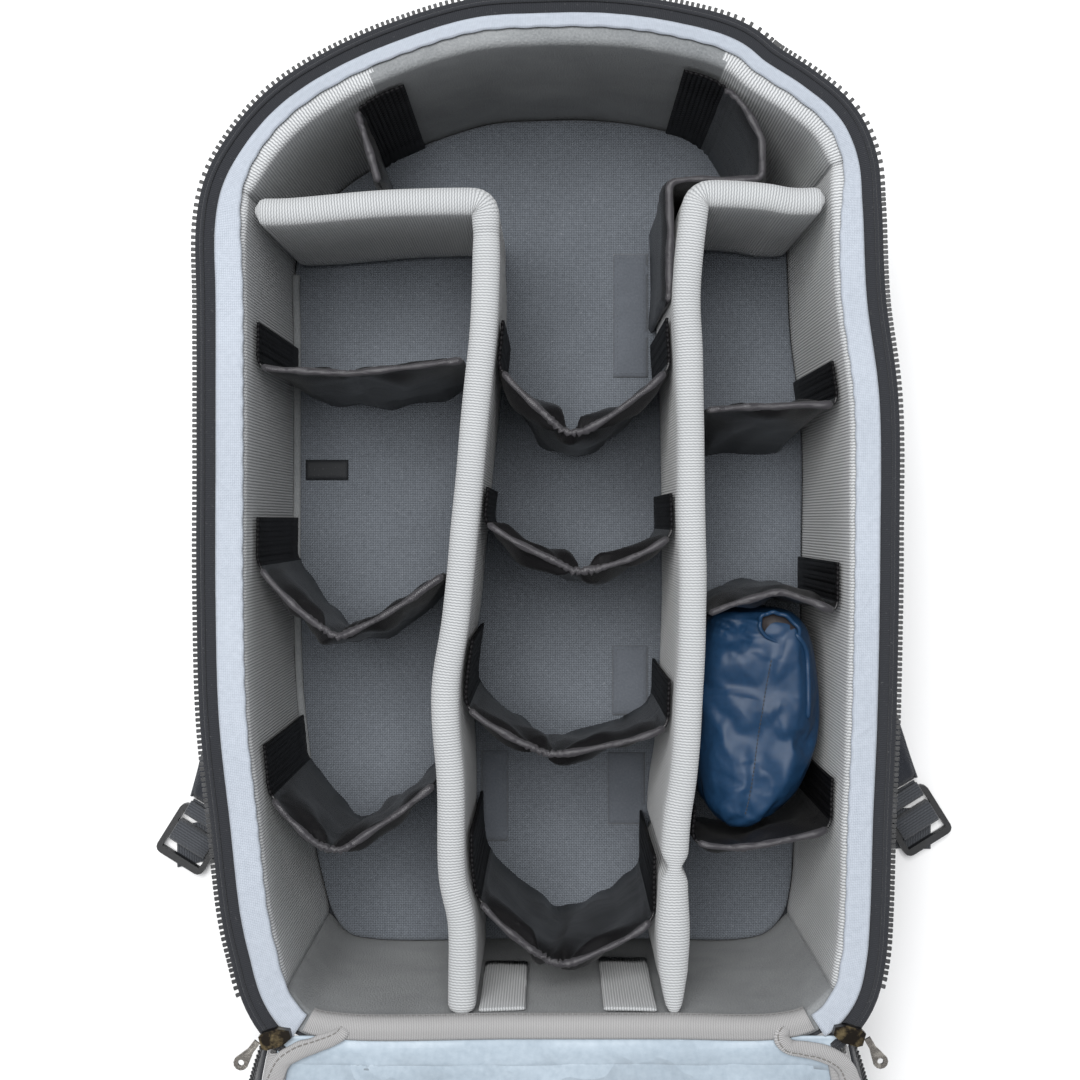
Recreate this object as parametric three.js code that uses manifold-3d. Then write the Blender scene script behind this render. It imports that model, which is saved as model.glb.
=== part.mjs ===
// Camera backpack lying open on its harness: padded shell, dividers, folded-down front and straps.
// Millimetres, +Z up, +Y toward the top of the pack, origin on the flat underside of the spine pad.
import * as THREE from 'three';
import Module from 'manifold-3d';
import { mergeVertices } from 'three/addons/utils/BufferGeometryUtils.js';

const wasm = await Module();
wasm.setup();

// Mouth of the pack, measured on the inner face of its walls
const mouthHalfWidth = 146;
const mouthHalfLength = 235;
const mouthCentre = 4;
const mouthSamples = 64;

// Levels above the ground
const shellBase = 28;
const floorThickness = 10;
const wallHeight = 147;
const dividerDrop = 4;
const thinDividerDrop = 15;

// Wall make-up
const shellThickness = 1.7;
const shellEdgeRadius = 7;
const padThickness = 11.5;
const seamGap = 0.3;
const facingThickness = 1.3;
const hingeRollThickness = 2.6;
const zipTapeWidth = 9.5;
const zipTapeThickness = 1.1;
const zipTapeRise = 2.6;
const zipChainWidth = 2.6;
const zipEndTrim = 20;

// Dividers
const longDividerThickness = 13.5;
const thinDividerThickness = 4;
const tabThickness = 2;
const dividerCornerRadius = 7;

// Front flap
const flapThickness = 10;
const flapLiningThickness = 1.1;
const flapBindingWidth = 10;
const flapBindingThickness = 1.4;
const flapHeadAngle = 8;
const flapFallAngle = 58;
const flapShoulderLength = 60;
const flapFootLength = 110;
const flapGroundClear = 0.8;
const flapCornerRun = 45;
const flapHingeTaper = 8;

// Harness
const spinePadAcross = 0.397;
const spinePadHighAlong = 0.685;
const spinePadLowAlong = -0.889;
const spinePadCorner = 24;
const spinePadChamfer = 6;
const strapThickness = 13;
const strapGroundClear = 0.4;
const webbingWidth = 25;
const webbingThickness = 1.5;
const ladderLockLength = 33;
const ladderLockWidth = 32;
const ladderLockHeight = 5;
const ladderLockBar = 4.2;
const ladderLockMiddle = 9.5;

// Zip sliders
const sliderLength = 15;
const sliderWidth = 8.5;
const sliderHeight = 4.6;
const sliderBailHeight = 2.6;
const pullLength = 17;
const pullWidth = 7.3;
const pullThickness = 1.4;
const pullHole = 1.5;

// Rain cover stowed in its pouch
const pouchHeight = 122;

// Mouth outline, clockwise from the lower left corner, in shares of the half width and half length
const mouthOutline = [
  { across: -0.67, along: -1.0 },
  { across: -0.775, along: -0.985 },
  { across: -0.836, along: -0.936 },
  { across: -0.877, along: -0.851 },
  { across: -0.904, along: -0.774 },
  { across: -0.938, along: -0.587 },
  { across: -0.973, along: -0.383 },
  { across: -0.984, along: -0.14 },
  { across: -0.984, along: 0.153 },
  { across: -0.984, along: 0.472 },
  { across: -0.986, along: 0.621 },
  { across: -0.966, along: 0.689 },
  { across: -0.914, along: 0.749 },
  { across: -0.836, along: 0.809 },
  { across: -0.756, along: 0.851 },
  { across: -0.63, along: 0.898 },
  { across: -0.466, along: 0.943 },
  { across: -0.217, along: 0.991 },
  { across: -0.014, along: 1.0 },
  { across: 0.205, along: 1.0 },
  { across: 0.411, along: 0.983 },
  { across: 0.592, along: 0.951 },
  { across: 0.674, along: 0.912 },
  { across: 0.801, along: 0.861 },
  { across: 0.897, along: 0.809 },
  { across: 0.94, along: 0.749 },
  { across: 0.952, along: 0.664 },
  { across: 0.966, along: 0.472 },
  { across: 1.007, along: 0.268 },
  { across: 1.01, along: -0.017 },
  { across: 1.0, along: -0.383 },
  { across: 0.986, along: -0.587 },
  { across: 0.977, along: -0.774 },
  { across: 0.966, along: -0.868 },
  { across: 0.938, along: -0.936 },
  { across: 0.87, along: -0.983 },
  { across: 0.767, along: -1.0 },
  { across: 0.411, along: -1.0 },
  { across: -0.1, along: -1.0 },
];

// Place along the outline where each wall panel starts, sewn to the one before
const wallSeams = [
  { name: 'wall_pad_left', from: { across: -0.836, along: -0.936 } },
  { name: 'wall_pad_top', from: { across: -0.966, along: 0.689 } },
  { name: 'wall_pad_right', from: { across: 0.94, along: 0.749 } },
  { name: 'wall_pad_bottom', from: { across: 0.938, along: -0.936 } },
];

// Corners at which the zip ends and the hinge of the front begins
const zipCorners = {
  left: { across: -0.775, along: -0.985 },
  right: { across: 0.87, along: -0.983 },
};

// Centre lines of the two thick dividers, from the side wall round the corner to the bottom wall
const leftDividerLine = [
  { across: -0.845, along: 0.662 },
  { across: -0.636, along: 0.674 },
  { across: -0.444, along: 0.682 },
  { across: -0.196, along: 0.684 },
  { across: -0.196, along: 0.487 },
  { across: -0.219, along: 0.312 },
  { across: -0.244, along: 0.149 },
  { across: -0.269, along: -0.017 },
  { across: -0.292, along: -0.172 },
  { across: -0.328, along: -0.326 },
  { across: -0.312, along: -0.524 },
  { across: -0.305, along: -0.717 },
  { across: -0.275, along: -0.814 },
];
const rightDividerLine = [
  { across: 0.828, along: 0.684 },
  { across: 0.735, along: 0.693 },
  { across: 0.51, along: 0.701 },
  { across: 0.48, along: 0.534 },
  { across: 0.475, along: 0.466 },
  { across: 0.483, along: 0.361 },
  { across: 0.49, along: 0.116 },
  { across: 0.495, along: -0.172 },
  { across: 0.477, along: -0.419 },
  { across: 0.464, along: -0.511 },
  { across: 0.445, along: -0.594 },
  { across: 0.434, along: -0.692 },
  { across: 0.432, along: -0.795 },
];

// Thin dividers of the three columns: where each end meets its face, how far it sags toward the
// bottom of the pack, how far its foot leans that way, and how long its folded ends are
const thinDividers = [
  { name: 'left_divider_1', column: 'left', start: 0.343, end: 0.358, sag: 0.019, sagAt: 0.44, lean: 0.028,
    startTab: 0.096, endTab: 0 },
  { name: 'left_divider_2', column: 'left', start: -0.08, end: -0.093, sag: 0.134, sagAt: 0.43, lean: 0.045,
    startTab: 0.11, endTab: 0 },
  { name: 'left_divider_3', column: 'left', start: -0.565, end: -0.532, sag: 0.117, sagAt: 0.38, lean: 0.03,
    startTab: 0.117, endTab: 0 },
  { name: 'middle_divider_1', column: 'middle', start: 0.333, end: 0.333, sag: 0.129, sagAt: 0.44, lean: 0.023,
    startTab: 0.11, endTab: 0.115 },
  { name: 'middle_divider_2', column: 'middle', start: 0.013, end: -0.016, sag: 0.083, sagAt: 0.52, lean: 0.03,
    startTab: 0.08, endTab: 0.096 },
  { name: 'middle_divider_3', column: 'middle', start: -0.377, end: -0.415, sag: 0.074, sagAt: 0.41, lean: 0.04,
    startTab: 0.15, endTab: 0.103 },
  { name: 'middle_divider_4', column: 'middle', start: -0.783, end: -0.82, sag: 0.108, sagAt: 0.46, lean: 0.02,
    startTab: 0.15, endTab: 0.14 },
  { name: 'right_divider_1', column: 'right', start: 0.254, end: 0.264, sag: -0.003, sagAt: 0.47, lean: 0.07,
    startTab: 0, endTab: 0.094 },
  { name: 'right_divider_2', column: 'right', start: -0.172, end: -0.169, sag: -0.044, sagAt: 0.55, lean: 0,
    startTab: 0, endTab: 0.104 },
  { name: 'right_divider_3', column: 'right', start: -0.653, end: -0.626, sag: 0.018, sagAt: 0.35, lean: 0.045,
    startTab: 0.071, endTab: 0.108 },
];

// Flat pieces of hook tape and cloth that lie on the floor, as rectangles in shares of the mouth
const floorPatches = [
  { name: 'divider_foot_upper', colour: 'lining', left: 0.265, right: 0.4, low: 0.37, high: 0.67 },
  { name: 'divider_foot_middle', colour: 'lining', left: 0.275, right: 0.385, low: -0.37, high: -0.28 },
  { name: 'divider_foot_lower', colour: 'lining', left: 0.234, right: 0.35, low: -0.715, high: -0.535 },
  { name: 'divider_foot_left', colour: 'lining', left: -0.2, right: -0.135, low: -0.76, high: -0.62 },
  { name: 'sewn_label', colour: 'label', left: -0.936, right: -0.77, low: 0.121, high: 0.17 },
];
const patchThickness = 1.6;

// Tabs that hold the foot of each thick divider to the bottom wall
const endTabs = [
  { name: 'end_tab_left', side: 1, reach: 0.15, top: 0.96, base: 0.35 },
  { name: 'end_tab_right', side: -1, reach: 0.17, top: 0.97, base: 0.3 },
];

// Rain cover pouch in sections from its upper to its lower gather, heights in shares of its own height
const pouchSections = [
  { along: -0.185, left: 0.66, right: 0.79, low: 0.72, high: 0.92 },
  { along: -0.2, left: 0.63, right: 0.87, low: 0.4, high: 0.97 },
  { along: -0.235, left: 0.6, right: 0.915, low: 0.1, high: 1.0 },
  { along: -0.3, left: 0.585, right: 0.935, low: 0.0, high: 1.0 },
  { along: -0.4, left: 0.575, right: 0.94, low: 0.0, high: 1.0 },
  { along: -0.47, left: 0.575, right: 0.925, low: 0.0, high: 1.0 },
  { along: -0.54, left: 0.58, right: 0.89, low: 0.05, high: 1.0 },
  { along: -0.59, left: 0.595, right: 0.83, low: 0.32, high: 0.99 },
  { along: -0.618, left: 0.62, right: 0.77, low: 0.6, high: 0.97 },
  { along: -0.634, left: 0.645, right: 0.72, low: 0.76, high: 0.92 },
];

// Shoulder strap from its sewn head to its narrow end, on the right side of the pack, in shares of the
// mouth; its width and its lift off the ground in millimetres
const strapLine = [
  { across: 0.322, along: 0.894, width: 50, lift: 14.5 },
  { across: 0.425, along: 0.8, width: 56, lift: 13 },
  { across: 0.603, along: 0.698, width: 60, lift: 4 },
  { across: 0.767, along: 0.502, width: 60, lift: 0 },
  { across: 0.89, along: 0.238, width: 58, lift: 0 },
  { across: 1.014, along: -0.017, width: 56, lift: 0 },
  { across: 1.151, along: -0.251, width: 52, lift: 0 },
  { across: 1.253, along: -0.443, width: 44, lift: 0 },
  { across: 1.345, along: -0.57, width: 36, lift: 0 },
  { across: 1.418, along: -0.651, width: 28, lift: 0 },
];
const strapEndDirection = -58;
const harnessSides = [
  { name: 'left', sign: -1, drawnIn: 10, lowered: 11 },
  { name: 'right', sign: 1, drawnIn: 0, lowered: 0 },
];
const lockStart = 5.5;
const lockLevel = 4.4;

// Lower webbing from the ladder lock back under the pack to the lower corner of the shell, in shares of
// the mouth, with its height over the ground in shares of the shell's
const anchorLine = [
  { across: 1.568, along: -0.757, lift: 0.021 },
  { across: 1.404, along: -0.757, lift: 0.021 },
  { across: 1.247, along: -0.77, lift: 0.089 },
  { across: 1.096, along: -0.809, lift: 0.536 },
  { across: 0.959, along: -0.851, lift: 0.921 },
  { across: 0.863, along: -0.877, lift: 0.921 },
];

const lockSlots = [
  [lockStart + ladderLockBar, lockStart + (ladderLockLength - ladderLockMiddle) / 2],
  [lockStart + (ladderLockLength + ladderLockMiddle) / 2, lockStart + ladderLockLength - ladderLockBar],
];

const floorTop = shellBase + shellThickness + seamGap + floorThickness;
const padBase = shellBase + shellThickness + seamGap;
const padTop = floorTop + wallHeight;
const shellTop = padTop - 1.5;
const facingBase = padTop + seamGap;
const shellInner = padThickness + seamGap;
const shellOuter = shellInner + shellThickness;
const dividerFoot = floorTop + seamGap;

const colours = {
  nylon: { colour: 0x25272b, roughness: 0.75 },
  lining: { colour: 0xa3a4a3, roughness: 0.95 },
  floor: { colour: 0x646a70, roughness: 0.9 },
  facing: { colour: 0xcbd4de, roughness: 0.7 },
  satin: { colour: 0xb4c4d2, roughness: 0.55 },
  binding: { colour: 0xb9b6b3, roughness: 0.85 },
  divider: { colour: 0x2c2a2e, roughness: 0.6 },
  tape: { colour: 0x2d3035, roughness: 0.85 },
  teeth: { colour: 0x3a3a3a, roughness: 0.45 },
  pouch: { colour: 0x27496f, roughness: 0.5 },
  label: { colour: 0x202124, roughness: 0.7 },
  plastic: { colour: 0x45464a, roughness: 0.55 },
  webbing: { colour: 0x3a3d42, roughness: 0.8 },
  mesh: { colour: 0x303236, roughness: 0.9 },
  slider: { colour: 0x5a5040, roughness: 0.4, metalness: 0.9 },
  pull: { colour: 0xb9ab93, roughness: 0.3, metalness: 0.95 },
};

const pack = new THREE.Group();
pack.name = 'camera_backpack';

function addPiece(name, geometry, finish) {
  const material = new THREE.MeshStandardMaterial({
    color: finish.colour, roughness: finish.roughness, metalness: finish.metalness ?? 0,
  });
  const mesh = new THREE.Mesh(geometry, material);
  mesh.name = name;
  pack.add(mesh);
}

// Closed solid through a run of equal polygons; an open run is capped, a looped run joins up
function solidFrom(sections, looped = false) {
  const count = sections[0].length;
  const corners = sections.flat();
  const faces = [];
  const runs = looped ? sections.length : sections.length - 1;
  for (let run = 0; run < runs; run++) {
    const here = run * count;
    const next = ((run + 1) % sections.length) * count;
    for (let side = 0; side < count; side++) {
      const other = (side + 1) % count;
      faces.push(here + side, next + side, next + other, here + side, next + other, here + other);
    }
  }
  if (!looped) {
    capFaces(sections[0]).forEach(([a, b, c]) => faces.push(a, b, c));
    const last = (sections.length - 1) * count;
    capFaces(sections.at(-1)).forEach(([a, b, c]) => faces.push(last + a, last + c, last + b));
  }
  if (signedVolume(corners, faces) < 0) {
    for (let i = 0; i < faces.length; i += 3) [faces[i + 1], faces[i + 2]] = [faces[i + 2], faces[i + 1]];
  }
  const geometry = new THREE.BufferGeometry();
  geometry.setAttribute('position', new THREE.Float32BufferAttribute(corners.flat(), 3));
  geometry.setIndex(faces);
  const flat = geometry.toNonIndexed();
  flat.computeVertexNormals();
  return flat;
}

// Triangles of one end polygon, worked out in the polygon's own plane
function capFaces(ring) {
  const normal = new THREE.Vector3();
  ring.forEach((point, i) => {
    const next = ring[(i + 1) % ring.length];
    normal.x += (point[1] - next[1]) * (point[2] + next[2]);
    normal.y += (point[2] - next[2]) * (point[0] + next[0]);
    normal.z += (point[0] - next[0]) * (point[1] + next[1]);
  });
  normal.normalize();
  const across = new THREE.Vector3(Math.abs(normal.z) < 0.9 ? 0 : 1, 0, Math.abs(normal.z) < 0.9 ? 1 : 0)
    .cross(normal).normalize();
  const along = normal.clone().cross(across);
  const flat = ring.map((point) => {
    const corner = new THREE.Vector3(...point);
    return new THREE.Vector2(corner.dot(across), corner.dot(along));
  });
  // Corners taken in ring order all turn the same way as the ring
  return THREE.ShapeUtils.triangulateShape(flat, []).map((corners) => [...corners].sort((a, b) => a - b));
}

function signedVolume(corners, faces) {
  let volume = 0;
  for (let i = 0; i < faces.length; i += 3) {
    const [a, b, c] = [0, 1, 2].map((step) => new THREE.Vector3(...corners[faces[i + step]]));
    volume += a.dot(b.cross(c)) / 6;
  }
  return volume;
}

function placeOf({ across, along }) {
  return new THREE.Vector2(across * mouthHalfWidth, along * mouthHalfLength + mouthCentre);
}

// The mouth as evenly spaced points with outward normals
const mouthCurve = new THREE.CatmullRomCurve3(
  mouthOutline.map((row) => { const place = placeOf(row); return new THREE.Vector3(place.x, place.y, 0); }),
  true, 'centripetal');
mouthCurve.arcLengthDivisions = 800;

function shareNear(place) {
  let best = 0;
  let nearest = Infinity;
  for (let step = 0; step < 4000; step++) {
    const point = mouthCurve.getPointAt(step / 4000);
    const away = Math.hypot(point.x - place.x, point.y - place.y);
    if (away < nearest) { nearest = away; best = step / 4000; }
  }
  return best;
}

// Every piece follows one polygon of the mouth, whose corners include the seams and the zip's ends
const seamShares = wallSeams.map((seam) => shareNear(placeOf(seam.from)));
const cornerLeft = shareNear(placeOf(zipCorners.left));
const cornerRight = shareNear(placeOf(zipCorners.right));
const keyShares = [...seamShares, cornerLeft, cornerRight];
const farFromKeys = (share) => keyShares.every((key) => {
  const apart = Math.abs(share - key);
  return Math.min(apart, 1 - apart) > 0.4 / mouthSamples;
});
const allShares = [
  ...Array.from({ length: mouthSamples }, (_, i) => i / mouthSamples).filter(farFromKeys), ...keyShares,
].sort((a, b) => a - b);
const samples = allShares.map((share) => ({
  point: mouthCurve.getPointAt(share), tangent: mouthCurve.getTangentAt(share),
}));

function mouthAt(share, offset) {
  const wrapped = ((share % 1) + 1) % 1;
  let next = allShares.findIndex((value) => value > wrapped);
  if (next < 0) next = 0;
  const before = (next + allShares.length - 1) % allShares.length;
  const width = (allShares[next] - allShares[before] + 1) % 1;
  const part = ((wrapped - allShares[before] + 1) % 1) / width;
  const shifted = [samples[before], samples[next]].map(({ point, tangent }) => [
    point.x - tangent.y * offset, point.y + tangent.x * offset]);
  return [0, 1].map((axis) => shifted[0][axis] + (shifted[1][axis] - shifted[0][axis]) * part);
}

// Shares between two places, keeping to the common polygon so that neighbouring pieces match
function sharesBetween(from, to) {
  const end = to <= from ? to + 1 : to;
  const inside = [...allShares, ...allShares.map((share) => share + 1)]
    .filter((share) => share > from + 1e-5 && share < end - 1e-5);
  return [from, ...inside, end];
}

const ringAt = (offset, z) => allShares.map((share) => [...mouthAt(share, offset), z]);

// Sweep of a profile of [offset, height] pairs along part of the mouth
function alongMouth(shares, profile, looped = false) {
  return solidFrom(shares.map((share) => profile.map(([offset, z]) => [...mouthAt(share, offset), z])), looped);
}

// Outer shell, a tray of coated nylon
addPiece('outer_shell', solidFrom([
  ringAt(shellOuter - shellEdgeRadius, shellBase),
  ringAt(shellOuter - 2, shellBase + 2),
  ringAt(shellOuter, shellBase + shellEdgeRadius),
  ringAt(shellOuter, shellTop),
  ringAt(shellInner, shellTop),
  ringAt(shellInner, shellBase + shellThickness + 4),
  ringAt(shellInner - 1, shellBase + shellThickness),
]), colours.nylon);

// Padded wall panels
const panelTrim = 0.5 / mouthCurve.getLength();
const padProfile = [
  [0, padBase + 4], [padThickness - 1.6, padBase], [padThickness, padBase + 4.5], [padThickness, padTop - 4],
  [padThickness - 3, padTop], [3, padTop], [0, padTop - 4],
];
wallSeams.forEach((seam, i) => {
  const from = seamShares[i] + panelTrim;
  const to = seamShares[(i + 1) % wallSeams.length] - panelTrim;
  addPiece(seam.name, alongMouth(sharesBetween(from, to), padProfile), colours.lining);
});

// Padded floor inside the walls
addPiece('floor_pad', solidFrom([
  ringAt(-seamGap - 2, padBase),
  ringAt(-seamGap - 0.6, padBase + 4),
  ringAt(-seamGap - 0.6, floorTop),
]), colours.floor);

// Satin facing over the walls, zip tape and zip chain, from corner to corner round the top
const openShares = sharesBetween(cornerLeft, cornerRight);
const facingOuter = shellOuter + 0.3;
const facingLip = padTop - dividerDrop + 0.4;
addPiece('rim_facing', alongMouth(openShares, [
  [-0.3, facingLip], [-0.3 - facingThickness, facingLip], [-0.3 - facingThickness, padTop - 1],
  [2.4, facingBase + facingThickness], [facingOuter, facingBase + facingThickness], [facingOuter, facingBase],
  [2.6, facingBase],
]), colours.facing);

const tapeInner = padThickness + 0.4;
const tapeOuter = facingOuter + zipTapeWidth;
const tapeBase = shellTop + seamGap;
addPiece('body_zip_tape', alongMouth(openShares, [
  [tapeInner, tapeBase], [facingOuter, tapeBase], [tapeOuter, tapeBase + zipTapeRise],
  [tapeOuter, tapeBase + zipTapeRise + zipTapeThickness], [facingOuter, tapeBase + zipTapeThickness],
  [tapeInner, tapeBase + zipTapeThickness],
]), colours.tape);

const chainInner = tapeOuter + seamGap;
const chainLevel = tapeBase + zipTapeRise + zipTapeThickness / 2;
const bodyChain = [
  [chainInner, chainLevel - zipChainWidth / 2], [chainInner + zipChainWidth, chainLevel - zipChainWidth / 2],
  [chainInner + zipChainWidth, chainLevel + zipChainWidth / 2], [chainInner, chainLevel + zipChainWidth / 2],
];
const chainTrim = zipEndTrim / mouthCurve.getLength();
addPiece('body_zip_chain', alongMouth(sharesBetween(cornerLeft + chainTrim, cornerRight - chainTrim), bodyChain),
  colours.teeth);

// Grey roll over the bottom wall, where the front flap is hinged
const hingeGap = 1.2 / mouthCurve.getLength();
const hingeShares = sharesBetween(cornerRight + hingeGap, cornerLeft - hingeGap);
addPiece('hinge_binding', alongMouth(hingeShares, [
  [-0.3, facingLip], [-0.3 - hingeRollThickness, facingLip], [-0.3 - hingeRollThickness, padTop - 0.5],
  [2.2, facingBase + hingeRollThickness], [9, facingBase + hingeRollThickness + 0.6],
  [facingOuter, facingBase + hingeRollThickness - 0.8], [facingOuter, facingBase], [2.6, facingBase],
]), colours.binding);

// Level polygons of the wall's inner face, for finding the faces that dividers meet
const wallPolygon = (inset) => allShares.map((share) => mouthAt(share, -inset));

function crossings(line, axis, value, closed) {
  const found = [];
  const last = closed ? line.length : line.length - 1;
  for (let i = 0; i < last; i++) {
    const a = line[i];
    const b = line[(i + 1) % line.length];
    if ((a[axis] - value) * (b[axis] - value) <= 0 && a[axis] !== b[axis]) {
      const share = (value - a[axis]) / (b[axis] - a[axis]);
      found.push(a[1 - axis] + share * (b[1 - axis] - a[1 - axis]));
    }
  }
  return found;
}
const leftWallAt = (y, inset) => Math.min(...crossings(wallPolygon(inset), 1, y, true));
const rightWallAt = (y, inset) => Math.max(...crossings(wallPolygon(inset), 1, y, true));
const topWallAt = (x, inset) => Math.max(...crossings(wallPolygon(inset), 0, x, true));
const bottomWallAt = (x, inset) => Math.min(...crossings(wallPolygon(inset), 0, x, true));

// Rounds the corners of a bent line and spaces its points
function roundedLine(points, radius, parts = 3) {
  const line = [points[0]];
  for (let i = 1; i < points.length - 1; i++) {
    const here = new THREE.Vector2(...points[i]);
    const back = new THREE.Vector2(...points[i - 1]).sub(here);
    const ahead = new THREE.Vector2(...points[i + 1]).sub(here);
    const turn = Math.PI - Math.abs(back.angleTo(ahead));
    const cut = Math.min(radius * Math.tan(turn / 2), back.length() / 2.1, ahead.length() / 2.1);
    if (turn < 0.35) { line.push(points[i]); continue; }
    const enter = here.clone().addScaledVector(back.normalize(), cut);
    const leave = here.clone().addScaledVector(ahead.normalize(), cut);
    const curve = new THREE.QuadraticBezierCurve(enter, here, leave);
    curve.getPoints(parts).forEach((point) => line.push([point.x, point.y]));
  }
  line.push(points.at(-1));
  return line;
}

// Mitred sideways shift of an open line
function shiftedLine(line, distance) {
  return line.map((point, i) => {
    const before = line[Math.max(i - 1, 0)];
    const after = line[Math.min(i + 1, line.length - 1)];
    const into = new THREE.Vector2(point[0] - before[0], point[1] - before[1]).normalize();
    const out = new THREE.Vector2(after[0] - point[0], after[1] - point[1]).normalize();
    const heading = into.clone().add(out).normalize();
    const spread = Math.max(Math.abs(i && i < line.length - 1 ? heading.dot(out) : 1), 0.7);
    return [point[0] - heading.y * distance / spread, point[1] + heading.x * distance / spread];
  });
}

// Upright panel on a centre line: foot is moved sideways by lean, the top edge may be rounded
function uprightPanel(line, thickness, base, top, leans, crown) {
  const left = shiftedLine(line, thickness / 2);
  const right = shiftedLine(line, -thickness / 2);
  return solidFrom(line.map((point, i) => {
    const drop = leans ? leans[i] : 0;
    const ring = [[right[i][0], right[i][1] - drop, base], [left[i][0], left[i][1] - drop, base]];
    if (crown) {
      const inLeft = [left[i][0] * 0.8 + right[i][0] * 0.2, left[i][1] * 0.8 + right[i][1] * 0.2];
      const inRight = [left[i][0] * 0.2 + right[i][0] * 0.8, left[i][1] * 0.2 + right[i][1] * 0.8];
      ring.push([...left[i], top - crown], [...inLeft, top], [...inRight, top], [...right[i], top - crown]);
    } else {
      ring.push([...left[i], top], [...right[i], top]);
    }
    return ring;
  }));
}

// Thick dividers, each bent once at its upper corner
function longDividerLine(rows, wallAt, towardWall) {
  const inner = rows.map((row) => placeOf(row).toArray());
  const armLevel = inner[0][1];
  const wallX = wallAt(armLevel, 0) - towardWall * (seamGap + 2.4);
  const lastX = inner.at(-1)[0];
  const bottomY = bottomWallAt(lastX, 0) + seamGap + 0.6;
  return roundedLine([[wallX, armLevel], ...inner, [lastX, bottomY]], dividerCornerRadius);
}
const leftLine = longDividerLine(leftDividerLine, leftWallAt, -1);
const rightLine = longDividerLine(rightDividerLine, rightWallAt, 1);
const dividerTop = padTop - dividerDrop;
addPiece('long_divider_left', uprightPanel(leftLine, longDividerThickness, dividerFoot, dividerTop, null, 2.5),
  colours.lining);
addPiece('long_divider_right', uprightPanel(rightLine, longDividerThickness, dividerFoot, dividerTop, null, 2.5),
  colours.lining);

const upright = (line) => line.slice(line.findIndex((point, i) => i
  && Math.abs(point[1] - line[i - 1][1]) > Math.abs(point[0] - line[i - 1][0])) - 1);
const sideOf = (line, y, side) => {
  const reach = side * (longDividerThickness / 2 + seamGap + thinDividerThickness / 2);
  const found = crossings(shiftedLine(upright(line), reach), 1, y, false);
  return side > 0 ? Math.max(...found) : Math.min(...found);
};
const wallInset = seamGap + thinDividerThickness / 2 + 0.2;
const columns = {
  left: { startAt: (y) => leftWallAt(y, wallInset), endAt: (y) => sideOf(leftLine, y, -1) },
  middle: { startAt: (y) => sideOf(leftLine, y, 1), endAt: (y) => sideOf(rightLine, y, -1) },
  right: { startAt: (y) => sideOf(rightLine, y, 1), endAt: (y) => rightWallAt(y, wallInset) },
};

// Thin laminated dividers with their folded ends
const thinTop = padTop - thinDividerDrop;
const sagSteps = 12;
const tabBend = 5;
for (const row of thinDividers) {
  const { startAt, endAt } = columns[row.column];
  const levelOf = (along) => along * mouthHalfLength + mouthCentre;
  const startY = levelOf(row.start);
  const endY = levelOf(row.end);
  const sag = row.sag * mouthHalfLength;
  const startX = startAt(startY);
  const endX = endAt(endY);
  const line = [];
  const leans = [];
  const addTab = (length, y, at, leaving) => {
    const tab = length * mouthHalfLength;
    const points = [tab, (tab + tabBend) / 2, tabBend].map((up) => [at(y + up), y + up]);
    (leaving ? points.reverse() : points).forEach((point) => { line.push(point); leans.push(0); });
  };
  const tabInset = (tab) => (tab ? tabBend * 0.3 : 0);
  const fromX = startX + tabInset(row.startTab);
  const toX = endX - tabInset(row.endTab);
  if (row.startTab) addTab(row.startTab, startY, startAt, false);
  for (let step = 0; step <= sagSteps; step++) {
    const share = step / sagSteps;
    const phase = share < row.sagAt ? share / row.sagAt : (1 - share) / (1 - row.sagAt);
    const dip = 1 - (1 - phase) ** 1.3;
    const corner = Math.min(share, 1 - share) * sagSteps;
    const openEnd = share < 0.5 ? !row.startTab : !row.endTab;
    const nearEnd = corner < 1 ? (openEnd ? 0 : 1.2) : 0;
    const x = fromX + (toX - fromX) * share;
    const reach = openEnd && corner < 1 ? 0.3 * (share < 0.5 ? -1 : 1) : 0;
    line.push([x + reach, startY + (endY - startY) * share - sag * dip + nearEnd]);
    leans.push(row.lean * mouthHalfLength * Math.min(1, corner / 2));
  }
  if (row.endTab) addTab(row.endTab, endY, endAt, true);
  addPiece(row.name, uprightPanel(line, thinDividerThickness, dividerFoot, thinTop, leans, 0), colours.divider);
}

// Two thin dividers of the top compartment, fixed to the top wall and led down to the thick arms
const armFaceAt = (line, x) => {
  const arm = shiftedLine(line, (line === leftLine ? 1 : -1) * (longDividerThickness / 2));
  return Math.max(...crossings(arm, 0, x, false)) + seamGap + thinDividerThickness / 2 + 0.2;
};
const across = (share) => share * mouthHalfWidth;
const headLeft = across(-0.63);
const topLeftLine = roundedLine([
  [across(-0.47), topWallAt(across(-0.47), wallInset)],
  [across(-0.55), topWallAt(across(-0.55), wallInset)],
  [headLeft, topWallAt(headLeft, wallInset) - 1],
  [across(-0.6), placeOf({ across: 0, along: 0.82 }).y],
  [across(-0.555), armFaceAt(leftLine, across(-0.545)) + 3],
], tabBend);
addPiece('top_divider_left', uprightPanel(topLeftLine, thinDividerThickness, dividerFoot, thinTop, null, 0),
  colours.divider);

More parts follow.
